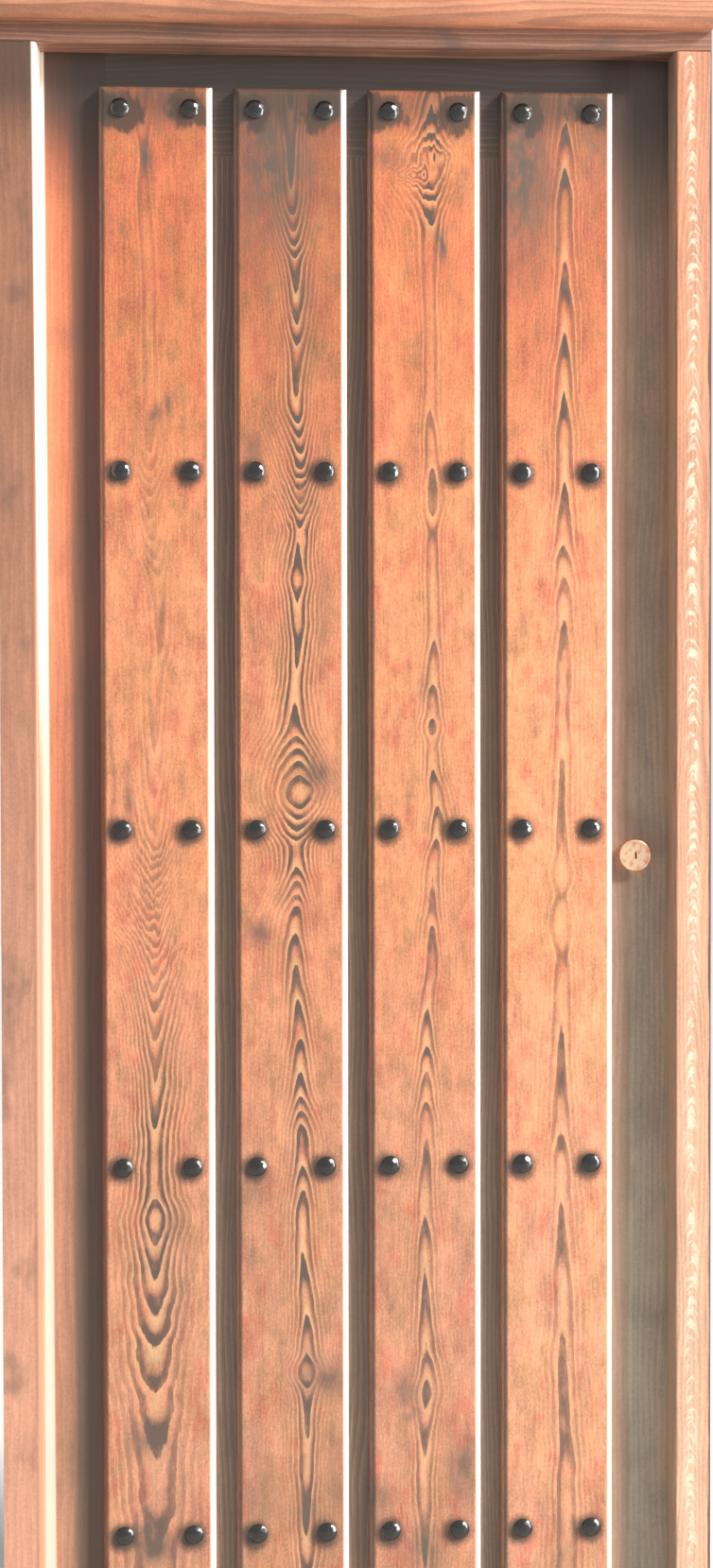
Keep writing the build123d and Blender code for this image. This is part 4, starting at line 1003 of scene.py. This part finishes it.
class DOOR_OT_lock(bpy.types.Operator):
    """Gives the lock and the keeper their metals and makes their slotted screws"""

    bl_idname = "door.lock"
    bl_label = "Lock"

    def execute(self, context):
        look = context.scene.door_look.lock
        pale, copper = linear(255, 216, 178), linear(240, 150, 106)
        brass = brushed_metal("lock_brass", pale, copper, (3.0, 6.0, 12.0), metallic=0.85, cloudy=0.75)
        turned = brushed_metal("turn_brass", look.brass, OLD_BRASS, (6.0, 6.0, 3.0), roughness=0.34,
                               cloudy=0.25)
        steel = brushed_metal("lock_steel", look.steel, linear(130, 122, 112), (24.0, 3.0, 3.0),
                              roughness=0.34, metallic=0.95)
        enamel = brown_enamel(look)
        dress_all(brass, "cylinder_ring", "cylinder_body", "key_plug")
        dress_all(turned, "thumb_turn")
        dress_all(steel, "cylinder_screws", "tailbar", "lock_backplate", "dead_bolt", "follower")
        dress_all(enamel, "lock_case", "keeper")
        grids = []
        for i, (x, z) in enumerate(inset_corners("lock_case", (0, 2), CASE_SCREW_INSET)):
            start = (x, high("lock_case", 1) + 1.0, z)
            grids += slotted_screw(start, (0, -1, 0), CASE_SCREW, 1.9 * i, depth=1.0, proud=0.9)
        piece("slotted_case_screws", grids, steel, "leaf", ["lock_case_screws"])
        grids = []
        ends = (low("keeper_screws", 2) + SCREW_HEAD, high("keeper_screws", 2) - SCREW_HEAD)
        for i, z in enumerate(ends):
            start = (middle("keeper_screws", 0), high("keeper_screws", 1), z)
            grids += slotted_screw(start, (0, -1, 0), SHORT_SCREW, 1.1 + 1.3 * i)
        piece("slotted_keeper_screws", grids, steel, "frame", ["keeper_screws"])
        grids = []
        for i, (x, y) in enumerate(inset_corners("head_screws", (0, 1), SCREW_HEAD)):
            grids += slotted_screw((x, y, high("head_screws", 2)), (0, 0, -1), HEAD_SCREW, 0.8 * i)
        piece("slotted_head_screws", grids, steel, "frame", ["head_screws"])
        return {"FINISHED"}


# Directions of the two far lamps, and the place and size in metres of the soft box.
KEY_FROM, INSIDE_FROM = (1.73, -1.0, 1.4), (-1.0, 1.3, 0.9)
STRIP_PLACE, STRIP_SIZE = (3.1, -0.95, 1.3), (0.45, 3.4)
FLOOR_HALF = 9
# The camera's place in metres, and its yaw, pitch and roll in degrees.
CAMERA_PLACE, CAMERA_TURN = (-0.109, -2.413, 1.140), (2.57, 0.84, -0.10)


def far_lamp(name, source, energy, angle, colour=(1.0, 1.0, 1.0)):
    """Adds a lamp that shines from a direction. The angle in degrees is how soft its shadows are."""
    data = bpy.data.lights.new(name, "SUN")
    data.energy = energy
    data.angle = math.radians(angle)
    data.color = colour
    made = bpy.data.objects.new(name, data)
    made.rotation_euler = Vector(source).to_track_quat("Z", "Y").to_euler()
    bpy.context.scene.collection.objects.link(made)


class DOOR_OT_stage(bpy.types.Operator):
    """Sets the floor, the lamps, the world and the camera"""

    bl_idname = "door.stage"
    bl_label = "Stage"

    def execute(self, context):
        look = context.scene.door_look.stage
        scene = context.scene
        scene.view_settings.view_transform = "Standard"
        far_lamp("key_light", KEY_FROM, look.key, angle=12.0, colour=(1.0, 0.985, 0.96))
        far_lamp("inside_light", INSIDE_FROM, look.inside, angle=30.0)

        box = bpy.data.lights.new("strip_light", "AREA")
        box.shape = "RECTANGLE"
        box.size, box.size_y = STRIP_SIZE
        box.energy = look.strip
        strip = bpy.data.objects.new("strip_light", box)
        strip.location = STRIP_PLACE
        strip.rotation_euler = Vector((*STRIP_PLACE[:2], 0.0)).to_track_quat("Z", "Y").to_euler()
        scene.collection.objects.link(strip)

        world = bpy.data.worlds.new("soft_room")
        world.use_nodes = True
        scene.world = world
        room = Graph(world.node_tree)
        seen = room.seen()
        background = world.node_tree.nodes["Background"]
        room.feed(background.inputs["Color"], room.mix(seen, (0.42, 0.72, 1.0), (1.0, 1.0, 1.0)))
        room.feed(background.inputs["Strength"], seen * (0.8 - look.fill) + look.fill)

        floor_mesh = bpy.data.meshes.new("floor")
        half = FLOOR_HALF
        sides = [(-half, -half, 0), (half, -half, 0), (half, half, 0), (-half, half, 0)]
        floor_mesh.from_pydata(sides, [], [(0, 1, 2, 3)])
        floor = bpy.data.objects.new("floor", floor_mesh)
        scene.collection.objects.link(floor)
        ground = Finish("pale_floor")
        x, y, z = ground.place()
        mottle = ground.noise(x / 300, y / 300, z, detail=3.0)
        paving = ground.mix(ground.seen(), linear(110, 118, 117), look.floor)
        paving = ground.shade(paving, 1.0 + mottle * 0.02)
        floor_mesh.materials.append(ground.sockets(Base_Color=paving, Roughness=0.8))

        data = bpy.data.cameras.new("camera")
        data.lens = 43.1
        data.sensor_width = 36.0
        data.sensor_fit = "AUTO"
        data.clip_start = 0.05
        camera = bpy.data.objects.new("camera", data)
        yaw, pitch, roll = (math.radians(degrees) for degrees in CAMERA_TURN)
        forward = Vector((math.sin(yaw) * math.cos(pitch), math.cos(yaw) * math.cos(pitch), -math.sin(pitch)))
        right = Vector((math.cos(yaw), -math.sin(yaw), 0.0))
        up = right.cross(forward)
        across = right * math.cos(roll) + up * math.sin(roll)
        above = up * math.cos(roll) - right * math.sin(roll)
        turn = Matrix((across, above, -forward)).transposed().to_4x4()
        camera.matrix_world = Matrix.Translation(CAMERA_PLACE) @ turn
        scene.collection.objects.link(camera)
        scene.camera = camera
        return {"FINISHED"}


STEPS = ("stage", "face_boards", "leaf_joinery", "frame_joinery", "studs", "hinges", "lock")


class DOOR_PT_panel(bpy.types.Panel):
    """The door's settings and its steps"""

    bl_idname = "DOOR_PT_panel"
    bl_label = "Door"
    bl_space_type = "VIEW_3D"
    bl_region_type = "UI"
    bl_category = "Door"

    def draw(self, context):
        look = context.scene.door_look
        for group in (look.timber, look.iron, look.lock, look.stage):
            box = self.layout.box()
            for name in group.bl_rna.properties.keys():
                if name not in ("rna_type", "name"):
                    box.prop(group, name)
        for step in STEPS:
            self.layout.operator(f"door.{step}")


CLASSES = (TimberLook, IronLook, LockLook, StageLook, DoorLook, DOOR_OT_face_boards, DOOR_OT_leaf_joinery,
           DOOR_OT_frame_joinery, DOOR_OT_studs, DOOR_OT_hinges, DOOR_OT_lock, DOOR_OT_stage, DOOR_PT_panel)


def register():
    """Adds the classes and the scene's settings."""
    for kind in CLASSES:
        bpy.utils.register_class(kind)
    bpy.types.Scene.door_look = PointerProperty(type=DoorLook)


def unregister():
    """Takes the classes and the scene's settings away."""
    del bpy.types.Scene.door_look
    for kind in reversed(CLASSES):
        bpy.utils.unregister_class(kind)


def main():
    """Runs every step in order."""
    register()
    for step in STEPS:
        getattr(bpy.ops.door, step)()


if __name__ == "__main__":
    main()
